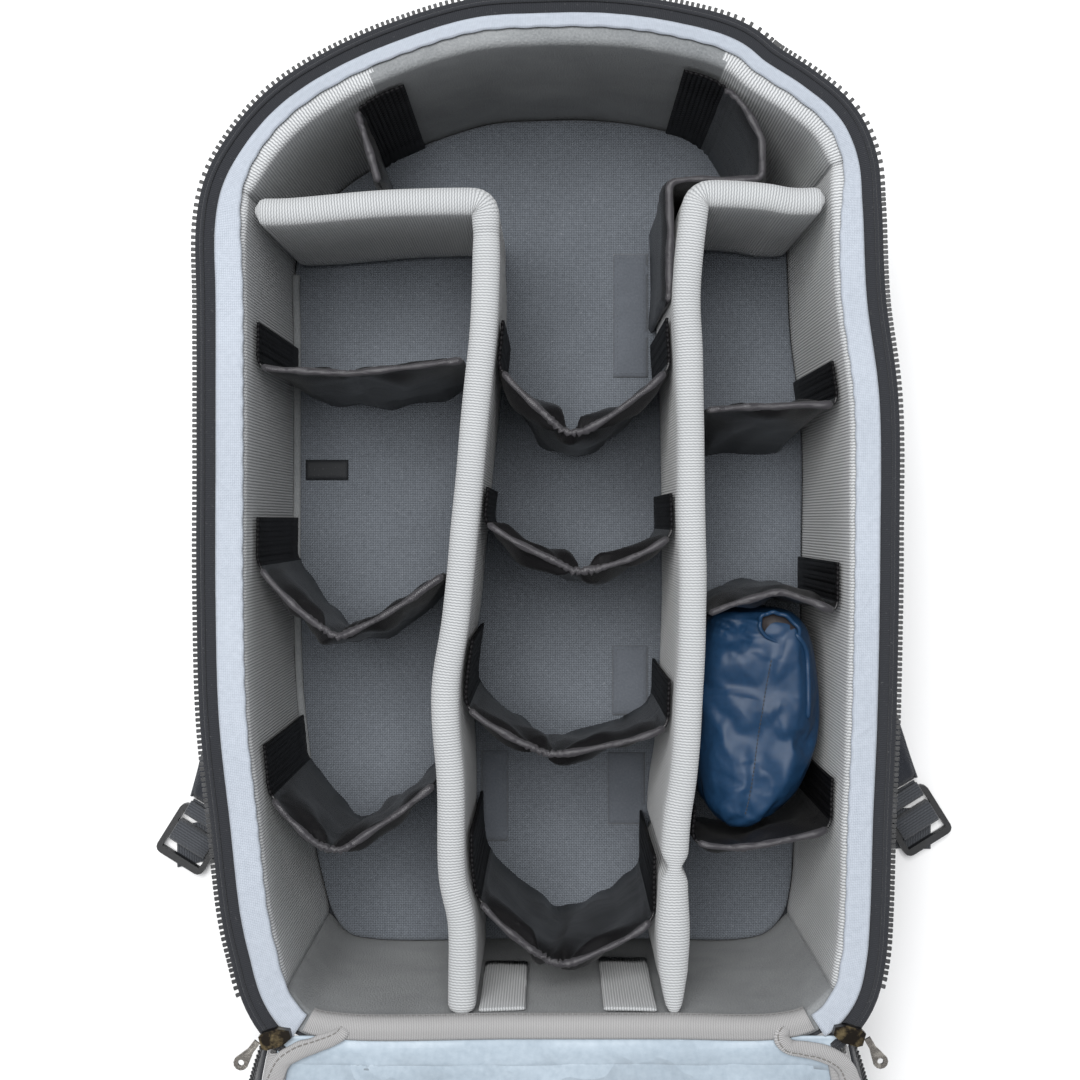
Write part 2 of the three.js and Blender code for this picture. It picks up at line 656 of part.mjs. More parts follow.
const besideRight = (share) => {
  const y = placeOf({ across: 0, along: share }).y;
  return [sideOf(rightLine, y, -1), y];
};
const cornerFace = sideOf(rightLine, placeOf({ across: 0, along: 0.6 }).y, -1) - 1.5;
const topRightLine = roundedLine([
  [across(0.47), topWallAt(across(0.47), wallInset)],
  [across(0.55), topWallAt(across(0.55), wallInset)],
  [across(0.625), topWallAt(across(0.625), wallInset) - 0.5],
  [across(0.685), placeOf({ across: 0, along: 0.875 }).y],
  [across(0.73), placeOf({ across: 0, along: 0.82 }).y],
  [across(0.74), armFaceAt(rightLine, across(0.74)) + 0.6],
  [across(0.6), armFaceAt(rightLine, across(0.6))],
  [across(0.53), armFaceAt(rightLine, across(0.53))],
  [cornerFace, armFaceAt(rightLine, across(0.5)) + 0.4],
  [besideRight(0.6)[0] - 0.6, besideRight(0.6)[1]],
  besideRight(0.48),
], tabBend);
addPiece('top_divider_right', uprightPanel(topRightLine, thinDividerThickness, dividerFoot, thinTop, null, 0),
  colours.divider);

// Flat patches on the floor
function slab(left, right, low, high, base, top) {
  return solidFrom([base, top].map((z) => [[left, low, z], [right, low, z], [right, high, z], [left, high, z]]));
}
for (const patch of floorPatches) {
  const low = placeOf({ across: patch.left, along: patch.low });
  const high = placeOf({ across: patch.right, along: patch.high });
  addPiece(patch.name, slab(low.x, high.x, low.y, high.y, dividerFoot, dividerFoot + patchThickness),
    colours[patch.colour]);
}

// Upright tabs against the bottom wall
for (const tab of endTabs) {
  const rootX = sideOf(tab.side > 0 ? leftLine : rightLine, placeOf({ across: 0, along: -0.97 }).y, tab.side);
  const lineX = [0, 0.5, 1].map((share) => rootX + tab.side * share * across(tab.reach));
  const heights = [tab.base, tab.top].map((share) => dividerFoot + share * (dividerTop - dividerFoot));
  const inset = seamGap + tabThickness / 2 + 0.4;
  const line = lineX.map((x) => [x, bottomWallAt(x, inset)]);
  addPiece(tab.name, uprightPanel(line, tabThickness, heights[0], heights[1], null, 0), colours.lining);
}

// Rain cover pouch, a soft bag gathered at both ends
const pouchSides = 16;
addPiece('rain_cover_pouch', solidFrom(pouchSections.map((row) => {
  const centre = placeOf({ across: (row.left + row.right) / 2, along: row.along });
  const half = across((row.right - row.left) / 2);
  const low = dividerFoot + row.low * pouchHeight;
  const high = dividerFoot + row.high * pouchHeight;
  return Array.from({ length: pouchSides }, (_, i) => {
    const angle = (i / pouchSides) * 2 * Math.PI;
    const squared = (value) => Math.sign(value) * Math.abs(value) ** 0.75;
    return [centre.x + half * squared(Math.cos(angle)), centre.y,
      (low + high) / 2 + ((high - low) / 2) * squared(Math.sin(angle))];
  });
})), colours.pouch);

// Fall of the folded-down flap: from the hinge level it rounds over, drops and comes to lie flat
const flapStart = Math.min(...allShares.map((share) => mouthAt(share, shellOuter)[1])) - seamGap;
const flapEnd = Math.max(...allShares.map((share) => mouthAt(share, shellOuter)[1]));
const flapLength = flapEnd - flapStart;
const hingeLevel = padTop - flapThickness - 1;

function fallLine(slopeLength) {
  const step = 2;
  const line = [{ y: flapStart, z: hingeLevel, angle: flapHeadAngle }];
  for (let run = step; run <= flapLength + 20; run += step) {
    let angle = flapHeadAngle + (flapFallAngle - flapHeadAngle) * Math.min(1, run / flapShoulderLength);
    const past = run - flapShoulderLength - slopeLength;
    if (past > 0) angle = flapFallAngle * Math.max(0, 1 - past / flapFootLength);
    const radians = THREE.MathUtils.degToRad(angle);
    const last = line.at(-1);
    line.push({ y: last.y - step * Math.cos(radians), z: last.z - step * Math.sin(radians), angle });
  }
  return line;
}
let shortest = 0;
let longest = flapLength;
for (let turn = 0; turn < 40; turn++) {
  const middle = (shortest + longest) / 2;
  if (fallLine(middle).at(-1).z > flapGroundClear) shortest = middle; else longest = middle;
}
const fall = fallLine(longest);
const flapFlatRun = flapShoulderLength + longest + flapFootLength + 10;

// Point of the flap at a width, a distance from the hinge and a height over its underside
function flapPoint(x, run, height) {
  const at = THREE.MathUtils.clamp(run / 2, 0, fall.length - 1.001);
  const here = fall[Math.floor(at)];
  const next = fall[Math.floor(at) + 1];
  const part = at - Math.floor(at);
  const mix = (key) => here[key] + (next[key] - here[key]) * part;
  const radians = THREE.MathUtils.degToRad(mix('angle'));
  const before = Math.min(run, 0);
  return [x, mix('y') - before - height * Math.sin(radians), mix('z') + height * Math.cos(radians)];
}

// Edge of the flap as it mirrors the mouth: points of width and distance, with outward offset
const flapEdge = (share, offset) => {
  const [x, y] = mouthAt(share, shellOuter - 1 + offset);
  return [x, y - flapStart];
};
const farRun = Math.max(...allShares.map((share) => flapEdge(share, 0)[1]));
const straightRun = farRun - 95;
const flapRuns = [];
for (let run = 0; run < straightRun; run += run < flapFlatRun ? 15 : 40) flapRuns.push(run);

// Share of the mouth at which the left or right edge of the flap reaches a distance from the hinge
function shareAtRun(run, rightSide) {
  const shares = rightSide ? [...allShares].reverse() : allShares;
  const rising = shares.slice(1).findIndex((share, i) => {
    const low = flapEdge(shares[i], 0)[1];
    const high = flapEdge(share, 0)[1];
    const onSide = (flapEdge(share, 0)[0] > 0) === rightSide;
    return onSide && low <= run && high > run;
  });
  const [a, b] = [shares[rising], shares[rising + 1]];
  const [low, high] = [flapEdge(a, 0)[1], flapEdge(b, 0)[1]];
  return a + (b - a) * ((run - low) / (high - low));
}
// Beside the hinge the edge keeps the width it has farther along, drawn in a little
function flapSide(run, rightSide, offset) {
  const share = shareAtRun(Math.max(run, flapCornerRun), rightSide);
  const taper = flapHingeTaper * (1 - Math.min(1, run / flapCornerRun)) ** 1.5;
  return flapEdge(share, offset)[0] - (rightSide ? taper : -taper);
}
const archShares = allShares.filter((share) => flapEdge(share, 0)[1] > straightRun + 12);

function flapPlate(inset, low, high) {
  const edge = allShares.map((share) => flapEdge(share, -inset));
  const lastRun = Math.max(...edge.map((point) => point[1]));
  const runs = [...flapRuns, ...[70, 45, 26, 16, 9, 4, 1].map((back) => lastRun - back)];
  return solidFrom(runs.map((run) => {
    const found = run < straightRun ? [flapSide(run, false, -inset), flapSide(run, true, -inset)]
      : crossings(edge, 1, run, true);
    const [left, right] = [Math.min(...found), Math.max(...found)];
    const middle = (left + right) / 2;
    return [flapPoint(left, run, low), flapPoint(left, run, high), flapPoint(middle, run, high),
      flapPoint(right, run, high), flapPoint(right, run, low), flapPoint(middle, run, low)];
  }));
}
addPiece('flap_panel', flapPlate(0.3, 0, flapThickness), colours.nylon);
addPiece('flap_lining', flapPlate(2.5, flapThickness + seamGap, flapThickness + seamGap + flapLiningThickness),
  colours.satin);

// Sweep of a profile along the flap's edge; each corner is [outward, height] or a function giving it
function alongFlap(profile) {
  const cornersAt = (run) => profile.map((corner) => (typeof corner === 'function' ? corner(run) : corner));
  const sideSection = (run, rightSide) => cornersAt(run).map(([offset, height]) => (
    flapPoint(flapSide(run, rightSide, offset), run, height)));
  const archSection = (share) => cornersAt(flapEdge(share, 0)[1]).map(([offset, height]) => {
    const [x, along] = flapEdge(share, offset);
    return flapPoint(x, along, height);
  });
  return solidFrom([
    ...flapRuns.map((run) => sideSection(run, false)), ...archShares.map(archSection),
    ...[...flapRuns].reverse().map((run) => sideSection(run, true)),
  ]);
}
const liningTop = flapThickness + seamGap + flapLiningThickness;
const bindingTop = liningTop + 0.5 + flapBindingThickness;
addPiece('flap_binding', alongFlap([
  [seamGap, 0], [seamGap + flapBindingThickness, 0], [seamGap + flapBindingThickness, bindingTop - 1.2],
  [0, bindingTop], [-flapBindingWidth, bindingTop], [-flapBindingWidth, liningTop + 0.5],
  [seamGap, liningTop + 0.5],
]), colours.binding);

// The flap's own zip: it hangs down beside the hinge and spreads outward farther along
const flapTapeRoot = seamGap * 2 + flapBindingThickness;
const spreadRun = 150;
const hangAngle = (run) => THREE.MathUtils.degToRad(75 - 63 * THREE.MathUtils.clamp(run / spreadRun, 0, 1));
const tapeCorner = (reach, side) => (run) => {
  const angle = hangAngle(run);
  return [flapTapeRoot + reach * Math.cos(angle) + side * Math.sin(angle),
    4.6 - reach * Math.sin(angle) + side * Math.cos(angle)];
};
addPiece('flap_zip_tape', alongFlap([
  tapeCorner(0.3, 0), tapeCorner(zipTapeWidth, 0), tapeCorner(zipTapeWidth, zipTapeThickness),
  tapeCorner(0.3, zipTapeThickness),
]), colours.tape);
const flapChainFrom = zipTapeWidth + seamGap;
addPiece('flap_zip_chain', alongFlap([
  tapeCorner(flapChainFrom, -0.75), tapeCorner(flapChainFrom + zipChainWidth, -0.75),
  tapeCorner(flapChainFrom + zipChainWidth, zipChainWidth - 0.75), tapeCorner(flapChainFrom, zipChainWidth - 0.75),
]), colours.teeth);

// Turned and moved copy of a piece drawn about its own origin
function placed(geometry, heading, tilt, x, y, z) {
  geometry.rotateY(THREE.MathUtils.degToRad(tilt));
  geometry.rotateZ(THREE.MathUtils.degToRad(heading));
  geometry.translate(x, y, z);
  return geometry;
}

// Flat plate of an outline, with holes cut right through it
function plateWithHoles(outline, holes, height) {
  const prism = (points, low, high) => solidOf(solidFrom([low, high].map((z) => points.map(([x, y]) => [x, y, z]))));
  let plate = prism(outline, 0, height);
  for (const hole of holes) plate = plate.subtract(prism(hole, -1, height + 1));
  const cut = plate.getMesh();
  const geometry = new THREE.BufferGeometry();
  geometry.setAttribute('position', new THREE.BufferAttribute(new Float32Array(cut.vertProperties), 3));
  geometry.setIndex(new THREE.BufferAttribute(new Uint32Array(cut.triVerts), 1));
  const flat = geometry.toNonIndexed();
  flat.computeVertexNormals();
  return flat;
}

function solidOf(geometry) {
  const bare = new THREE.BufferGeometry().setAttribute('position', geometry.getAttribute('position'));
  const merged = mergeVertices(bare, 1e-3);
  return new wasm.Manifold(new wasm.Mesh({
    numProp: 3,
    vertProperties: merged.attributes.position.array,
    triVerts: new Uint32Array(merged.index.array),
  }));
}

function roundRect(left, right, low, high, radius, parts = 3) {
  const corners = [[right - radius, high - radius, 0], [left + radius, high - radius, 90],
    [left + radius, low + radius, 180], [right - radius, low + radius, 270]];
  return corners.flatMap(([x, y, start]) => Array.from({ length: parts + 1 }, (_, i) => {
    const angle = THREE.MathUtils.degToRad(start + (90 * i) / parts);
    return [x + radius * Math.cos(angle), y + radius * Math.sin(angle)];
  }));
}

// Zip sliders at the two lower corners, each with a pull that hinges on its bail
const sliders = [
  { side: 'left', outward: 215, past: 0.35, heading: 196, pullHeading: 232 },
  { side: 'right', outward: -27, past: 0.51, heading: -16, pullHeading: -60 },
];
const sliderBase = facingBase + facingThickness + 0.9;
for (const slider of sliders) {
  const half = sliderLength / 2;
  const wide = sliderWidth / 2;
  const outward = THREE.MathUtils.degToRad(slider.outward);
  const reach = shellOuter + slider.past * sliderLength;
  const centre = placeOf(zipCorners[slider.side])
    .add(new THREE.Vector2(Math.cos(outward) * reach, Math.sin(outward) * reach));
  const body = plateWithHoles([
    [-half, -wide * 0.45], [-half * 0.3, -wide], [half * 0.7, -wide], [half, -wide * 0.7],
    [half, wide * 0.7], [half * 0.7, wide], [-half * 0.3, wide], [-half, wide * 0.45],
  ], [], sliderHeight);
  addPiece('zip_slider_' + slider.side, placed(body, slider.heading, 0, centre.x, centre.y, sliderBase),
    colours.slider);
  const turn = THREE.MathUtils.degToRad(slider.heading);
  const hingeX = centre.x + Math.cos(turn) * (half + 2.2);
  const hingeY = centre.y + Math.sin(turn) * (half + 2.2);
  const ring = Array.from({ length: 10 }, (_, i) => {
    const angle = -(i / 10) * 2 * Math.PI;
    return [pullLength - pullWidth / 2 - 2 + pullHole * Math.cos(angle), pullHole * Math.sin(angle)];
  });
  const tab = plateWithHoles(
    [[-1.2, -1.6], [4, -1.6], [6, -pullWidth * 0.3],
      ...Array.from({ length: 9 }, (_, i) => {
        const angle = THREE.MathUtils.degToRad(-120 + 30 * i);
        return [pullLength - pullWidth / 2 - 2 + (pullWidth / 2) * Math.cos(angle), (pullWidth / 2) * Math.sin(angle)];
      }),
      [6, pullWidth * 0.3], [4, 1.6], [-1.2, 1.6]], [ring], pullThickness);
  addPiece('zip_pull_' + slider.side,
    placed(tab, slider.pullHeading, 0, hingeX, hingeY, sliderBase + sliderBailHeight), colours.pull);
}

// Spine pad of the back panel, flat underneath
const spineLow = placeOf({ across: -spinePadAcross, along: spinePadLowAlong });
const spineHigh = placeOf({ across: spinePadAcross, along: spinePadHighAlong });
addPiece('spine_pad', solidFrom([
  [spinePadChamfer, 0], [0, spinePadChamfer], [0, shellBase - seamGap - 4], [3, shellBase - seamGap],
].map(([inset, z]) => roundRect(spineLow.x + inset, -spineLow.x - inset, spineLow.y + inset,
  spineHigh.y - inset, spinePadCorner - inset, 4).map(([x, y]) => [x, y, z]))), colours.mesh);

// Shoulder straps, webbing and ladder locks on both sides
const strapPlaces = strapLine.map((row) => placeOf(row));
const strapEnd = strapPlaces.at(-1);
for (const side of harnessSides) {
  const swayed = (x, y, share) => [side.sign * (x - side.drawnIn * share ** 2), y - side.lowered * share ** 2];
  const centres = new THREE.CatmullRomCurve3(strapLine.map((row, i) => (
    new THREE.Vector3(strapPlaces[i].x, strapPlaces[i].y, row.lift))));
  const widths = new THREE.CatmullRomCurve3(strapLine.map((row, i) => new THREE.Vector3(row.width, i, 0)));
  const steps = 18;
  const strap = [];
  for (let i = 0; i <= steps; i++) {
    const point = centres.getPoint(i / steps);
    const tangent = centres.getTangent(i / steps).setZ(0).normalize();
    const half = widths.getPoint(i / steps).x / 2;
    const low = strapGroundClear + point.z;
    const high = low + strapThickness;
    const at = (distance, z) => [
      ...swayed(point.x - tangent.y * distance, point.y + tangent.x * distance, i / steps), z];
    strap.push([at(half - 2, low), at(half, low + 3), at(half, high - 3), at(half - 3, high),
      at(3 - half, high), at(-half, high - 3), at(-half, low + 3), at(2 - half, low)]);
  }
  addPiece('shoulder_strap_' + side.name, solidFrom(strap), colours.nylon);

  const heading = THREE.MathUtils.degToRad(strapEndDirection);
  const ahead = [Math.cos(heading), Math.sin(heading)];
  const beside = [-ahead[1], ahead[0]];
  const spot = (along, acrossBy, z) => [...swayed(strapEnd.x + ahead[0] * along + beside[0] * acrossBy,
    strapEnd.y + ahead[1] * along + beside[1] * acrossBy, 1), z];
  const lock = plateWithHoles(
    roundRect(lockStart, lockStart + ladderLockLength, -ladderLockWidth / 2, ladderLockWidth / 2, 4),
    lockSlots.map(([from, to]) => [[from, -webbingWidth / 2 - 0.3], [to, -webbingWidth / 2 - 0.3],
      [to, webbingWidth / 2 + 0.3], [from, webbingWidth / 2 + 0.3]]), ladderLockHeight);
  lock.rotateZ(heading);
  lock.translate(strapEnd.x - side.drawnIn, strapEnd.y - side.lowered, lockLevel);
  if (side.sign < 0) lock.applyMatrix4(new THREE.Matrix4().makeScale(-1, 1, 1));
  addPiece('ladder_lock_' + side.name, side.sign < 0 ? turnedOut(lock) : lock, colours.plastic);

  const lockTop = lockLevel + ladderLockHeight;
  const clear = webbingThickness / 2 + 0.35;
  const strips = {
    strap_loop: [[2.5, lockTop + clear], [lockSlots[0][0] + clear, lockTop + clear],
      [lockSlots[0][0] + clear, lockLevel - clear], [2.5, lockLevel - clear]],
    buckle_webbing: [[lockSlots[0][1] - clear, lockLevel - clear], [lockSlots[0][1] - clear, lockTop + clear],
      [lockSlots[1][0] + clear, lockTop + clear], [lockSlots[1][0] + clear, lockLevel - clear]],
  };
  const webbingHalf = webbingWidth / 2 - 0.4;
  for (const [name, points] of Object.entries(strips)) {
    const strip = stripSides(roundedLine(points, 1.6, 2), webbingThickness);
    addPiece(name + '_' + side.name, solidFrom(strip.map(([outer, inner]) => [
      spot(outer[0], -webbingHalf, outer[1]), spot(outer[0], webbingHalf, outer[1]),
      spot(inner[0], webbingHalf, inner[1]), spot(inner[0], -webbingHalf, inner[1])])), colours.webbing);
  }

  // Lower webbing, from under the ladder lock to the lower corner of the shell
  const lower = new THREE.CatmullRomCurve3(anchorLine.map((row) => (
    new THREE.Vector3(placeOf(row).x, placeOf(row).y, row.lift * shellBase))));
  addPiece('anchor_webbing_' + side.name, solidFrom(Array.from({ length: 13 }, (_, i) => {
    const point = lower.getPoint(i / 12);
    const tangent = lower.getTangent(i / 12).setZ(0).normalize();
    const at = (distance, z) => [...swayed(point.x - tangent.y * distance, point.y + tangent.x * distance,
      1 - i / 12), z];
    return [at(-webbingHalf, point.z), at(webbingHalf, point.z), at(webbingHalf, point.z + webbingThickness),
      at(-webbingHalf, point.z + webbingThickness)];
  })), colours.webbing);
}

// Outer and inner line of a thin strip bent in its own plane
function stripSides(points, thickness) {
  const outer = shiftedLine(points, thickness / 2);
  const inner = shiftedLine(points, -thickness / 2);
  return points.map((_, i) => [outer[i], inner[i]]);
}

// Reverses every triangle of a mirrored piece
function turnedOut(geometry) {
  const flat = geometry.index ? geometry.toNonIndexed() : geometry;
  const place = flat.getAttribute('position');
  for (let i = 0; i < place.count; i += 3) {
    const [a, b] = [i + 1, i + 2].map((corner) => new THREE.Vector3().fromBufferAttribute(place, corner));
    place.setXYZ(i + 1, b.x, b.y, b.z);
    place.setXYZ(i + 2, a.x, a.y, a.z);
  }
  flat.computeVertexNormals();
  return flat;
}

export default pack;
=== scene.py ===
import math

import bmesh
import bpy
import numpy as np
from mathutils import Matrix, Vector, noise


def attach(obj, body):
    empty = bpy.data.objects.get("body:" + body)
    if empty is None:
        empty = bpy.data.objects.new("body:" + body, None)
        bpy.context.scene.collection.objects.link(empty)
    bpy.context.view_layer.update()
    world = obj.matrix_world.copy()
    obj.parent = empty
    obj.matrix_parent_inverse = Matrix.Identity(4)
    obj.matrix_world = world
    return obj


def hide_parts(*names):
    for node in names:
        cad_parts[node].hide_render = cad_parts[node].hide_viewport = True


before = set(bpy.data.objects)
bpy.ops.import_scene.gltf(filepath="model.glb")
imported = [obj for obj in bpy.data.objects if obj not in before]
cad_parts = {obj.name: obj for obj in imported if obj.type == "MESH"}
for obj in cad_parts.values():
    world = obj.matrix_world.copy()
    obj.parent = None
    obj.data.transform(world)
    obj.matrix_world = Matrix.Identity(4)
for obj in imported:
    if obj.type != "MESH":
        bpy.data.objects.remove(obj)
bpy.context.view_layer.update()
print("frame loaded")


# Camera, light and floor

view = {
    "eye": (0.00384, 0.0096, 0.98),   # straight above the lens axis of the picture
    "lens": 54.86,                    # on a 36 mm sensor
    "shift": (-0.0111, -0.0185),
}


def addCamera():
    data = bpy.data.cameras.new("camera")
    data.sensor_width = 36
    data.lens = view["lens"]
    data.shift_x, data.shift_y = view["shift"]
    data.clip_start, data.clip_end = 0.02, 50
    camera = bpy.data.objects.new("camera", data)
    camera.location = view["eye"]
    bpy.context.collection.objects.link(camera)
    bpy.context.scene.camera = camera


studio = {
    "floorColour": "#f7f7f7",
    "worldColour": "#f4f6fa",
    "worldStrength": 0.42,
    "keyPower": 58,
    "keyPlace": (-0.18, 0.42, 2.1),    # high, a little toward the pack's top, so foot walls are lit
    "keySize": 1.1,
}


def tint(code, alpha=1.0):
    parts = [int(code[i:i + 2], 16) / 255 for i in (1, 3, 5)]
    return [p / 12.92 if p <= 0.04045 else ((p + 0.055) / 1.055) ** 2.4 for p in parts] + [alpha]


def addStudio():
    world = bpy.data.worlds.new("studio")
    world.use_nodes = True
    sky = world.node_tree.nodes["Background"]
    sky.inputs["Color"].default_value = tint(studio["worldColour"])
    sky.inputs["Strength"].default_value = studio["worldStrength"]
    bpy.context.scene.world = world
    data = bpy.data.lights.new("softbox", "AREA")
    data.energy = studio["keyPower"]
    data.size = studio["keySize"]
    lamp = bpy.data.objects.new("softbox", data)
    lamp.location = studio["keyPlace"]
    lamp.rotation_euler = (Vector((0, 0, 0.1)) - lamp.location).to_track_quat("-Z", "Y").to_euler()
    bpy.context.collection.objects.link(lamp)

    clearSelection()
    bpy.ops.mesh.primitive_plane_add(size=7, location=(0, 0, -0.0004))
    floor = bpy.context.active_object
    floor.name = "studio_floor"
    floor.location = (0, 0, 0)
    for corner in floor.data.vertices:
        corner.co.z = -0.0004
    paper = bpy.data.materials.new("floorPaper")
    paper.use_nodes = True
    shader = paper.node_tree.nodes["Principled BSDF"]
    shader.inputs["Base Color"].default_value = tint(studio["floorColour"])
    shader.inputs["Roughness"].default_value = 0.9
    floor.data.materials.append(paper)


def clearSelection():
    if bpy.context.object and bpy.context.object.mode != "OBJECT":
        bpy.ops.object.mode_set(mode="OBJECT")
    bpy.ops.object.select_all(action="DESELECT")


bpy.context.scene.view_settings.view_transform = "Standard"
addCamera()
addStudio()
print("camera and studio ready")


# Shader groups

def groupTree(name, inputs, outputs):
    tree = bpy.data.node_groups.new(name, "ShaderNodeTree")
    for label, kind, value in inputs:
        socket = tree.interface.new_socket(name=label, in_out="INPUT", socket_type=kind)
        if value is not None:
            socket.default_value = value
    for label in outputs:
        tree.interface.new_socket(name=label, in_out="OUTPUT", socket_type="NodeSocketFloat")
    return tree, tree.nodes.new("NodeGroupInput").outputs, tree.nodes.new("NodeGroupOutput").inputs


def calc(tree, operation, *values):
    node = tree.nodes.new("ShaderNodeMath")
    node.operation = operation
    for place, value in enumerate(values):
        if isinstance(value, bpy.types.NodeSocket):
            tree.links.new(value, node.inputs[place])
        else:
            node.inputs[place].default_value = value
    return node.outputs[0]


def noiseOf(tree, vector, scale, detail=3.0, roughness=0.55, distortion=0.0):
    node = tree.nodes.new("ShaderNodeTexNoise")
    tree.links.new(vector, node.inputs["Vector"])
    node.inputs["Detail"].default_value = detail
    node.inputs["Roughness"].default_value = roughness
    node.inputs["Distortion"].default_value = distortion
    if isinstance(scale, bpy.types.NodeSocket):
        tree.links.new(scale, node.inputs["Scale"])
    else:
        node.inputs["Scale"].default_value = scale
    return node.outputs["Fac"]


def splitVector(tree, vector):
    node = tree.nodes.new("ShaderNodeSeparateXYZ")
    tree.links.new(vector, node.inputs[0])
    return node.outputs


vectorIn = ("Vector", "NodeSocketVector", None)


def ribGroup():
    # Ribs of a loop-pile lining: they run across u, with a knitted beat along each rib
    tree, given, result = groupTree("liningRibs", [
        vectorIn, ("Pitch", "NodeSocketFloat", 0.0014), ("Wobble", "NodeSocketFloat", 0.35),
        ("Zig", "NodeSocketFloat", 0.06)],
        ["Height", "Shade"])
    u, v, w = splitVector(tree, given["Vector"])
    drift = calc(tree, "MULTIPLY", calc(tree, "SUBTRACT", noiseOf(tree, given["Vector"], 190.0), 0.5),
                 given["Wobble"])
    turn = calc(tree, "ADD", calc(tree, "DIVIDE", u, given["Pitch"]), drift)
    beat = calc(tree, "MULTIPLY", calc(tree, "DIVIDE", v, given["Pitch"]), 0.62)
    zig = calc(tree, "MULTIPLY", calc(tree, "SINE", calc(tree, "MULTIPLY", beat, math.pi * 2)), given["Zig"])
    rib = calc(tree, "POWER", calc(tree, "ABSOLUTE", calc(tree, "SINE", calc(
        tree, "MULTIPLY", calc(tree, "ADD", turn, zig), math.pi))), 0.7)
    knit = calc(tree, "ABSOLUTE", calc(tree, "SINE", calc(tree, "MULTIPLY", calc(
        tree, "ADD", beat, calc(tree, "MULTIPLY", turn, 0.5)), math.pi)))
    height = calc(tree, "MULTIPLY", rib, calc(tree, "MULTIPLY_ADD", knit, 0.28, 0.72))
    fuzz = noiseOf(tree, given["Vector"], 1500.0, 2.0)
    tree.links.new(calc(tree, "MULTIPLY_ADD", fuzz, 0.25, height), result["Height"])
    tree.links.new(calc(tree, "MULTIPLY_ADD", fuzz, 0.35, calc(tree, "MULTIPLY", height, 0.75)),
                   result["Shade"])
    return tree


def weaveGroup():
    # Plain weave: one thread passes over, the next under
    tree, given, result = groupTree("plainWeave", [
        vectorIn, ("Pitch", "NodeSocketFloat", 0.0009), ("Wobble", "NodeSocketFloat", 0.2)],
        ["Height", "Shade"])
    u, v, w = splitVector(tree, given["Vector"])
    drift = calc(tree, "MULTIPLY", calc(tree, "SUBTRACT", noiseOf(tree, given["Vector"], 240.0), 0.5),
                 given["Wobble"])
    warp = calc(tree, "SINE", calc(tree, "MULTIPLY", calc(
        tree, "ADD", calc(tree, "DIVIDE", u, given["Pitch"]), drift), math.pi))
    weft = calc(tree, "SINE", calc(tree, "MULTIPLY", calc(
        tree, "ADD", calc(tree, "DIVIDE", v, given["Pitch"]), drift), math.pi))
    over = calc(tree, "GREATER_THAN", calc(tree, "MULTIPLY", warp, weft), 0.0)
    crossed = calc(tree, "MULTIPLY", calc(tree, "ABSOLUTE", warp), over)
    laid = calc(tree, "MULTIPLY", calc(tree, "ABSOLUTE", weft), calc(tree, "SUBTRACT", 1.0, over))
    height = calc(tree, "ADD", crossed, laid)
    slub = noiseOf(tree, given["Vector"], 420.0, 4.0)
    tree.links.new(height, result["Height"])
    tree.links.new(calc(tree, "MULTIPLY_ADD", slub, 0.55, calc(tree, "MULTIPLY", height, 0.5)),
                   result["Shade"])
    return tree


def napGroup():
    # Brushed pile: short fibres, with brushed patches that lie another way
    tree, given, result = groupTree("brushedNap", [
        vectorIn, ("Pitch", "NodeSocketFloat", 0.0008), ("Wobble", "NodeSocketFloat", 0.3)],
        ["Height", "Shade"])
    density = calc(tree, "DIVIDE", 1.0, given["Pitch"])
    fibres = noiseOf(tree, given["Vector"], density, 4.0, 0.7)
    patches = noiseOf(tree, given["Vector"], calc(tree, "MULTIPLY", density, 0.05), 2.0, 0.5, 1.0)
    tree.links.new(fibres, result["Height"])
    tree.links.new(calc(tree, "ADD", calc(tree, "MULTIPLY", fibres, 0.55), calc(
        tree, "MULTIPLY", calc(tree, "SUBTRACT", patches, 0.2), given["Wobble"])), result["Shade"])
    return tree


def satinGroup():
    # Close satin: fine floats on a slant
    tree, given, result = groupTree("satinFloats", [
        vectorIn, ("Pitch", "NodeSocketFloat", 0.0005), ("Wobble", "NodeSocketFloat", 0.2)],
        ["Height", "Shade"])
    u, v, w = splitVector(tree, given["Vector"])
    slant = calc(tree, "DIVIDE", calc(tree, "ADD", u, calc(tree, "MULTIPLY", v, 0.4)), given["Pitch"])
    floats = calc(tree, "ABSOLUTE", calc(tree, "SINE", calc(tree, "MULTIPLY", slant, math.pi)))
    cloud = noiseOf(tree, given["Vector"], 300.0, 4.0)
    tree.links.new(floats, result["Height"])
    tree.links.new(calc(tree, "ADD", calc(tree, "MULTIPLY", floats, 0.25), calc(
        tree, "MULTIPLY", cloud, 0.7)), result["Shade"])
    return tree


def creaseGroup():
    # Soft folds that cloth takes up: ridged noise, long in one direction
    tree, given, result = groupTree("softCreases", [
        vectorIn, ("Scale", "NodeSocketFloat", 40.0), ("Stretch", "NodeSocketFloat", 2.0)], ["Height"])
    u, v, w = splitVector(tree, given["Vector"])
    join = tree.nodes.new("ShaderNodeCombineXYZ")
    tree.links.new(calc(tree, "MULTIPLY", u, given["Stretch"]), join.inputs[0])
    tree.links.new(v, join.inputs[1])
    tree.links.new(w, join.inputs[2])
    field = noiseOf(tree, join.outputs[0], given["Scale"], 2.0, 0.45, 0.6)
    ridge = calc(tree, "SUBTRACT", 1.0, calc(tree, "ABSOLUTE", calc(tree, "MULTIPLY_ADD", field, 4.0, -2.0)))
    tree.links.new(calc(tree, "MAXIMUM", ridge, 0.0), result["Height"])
    return tree


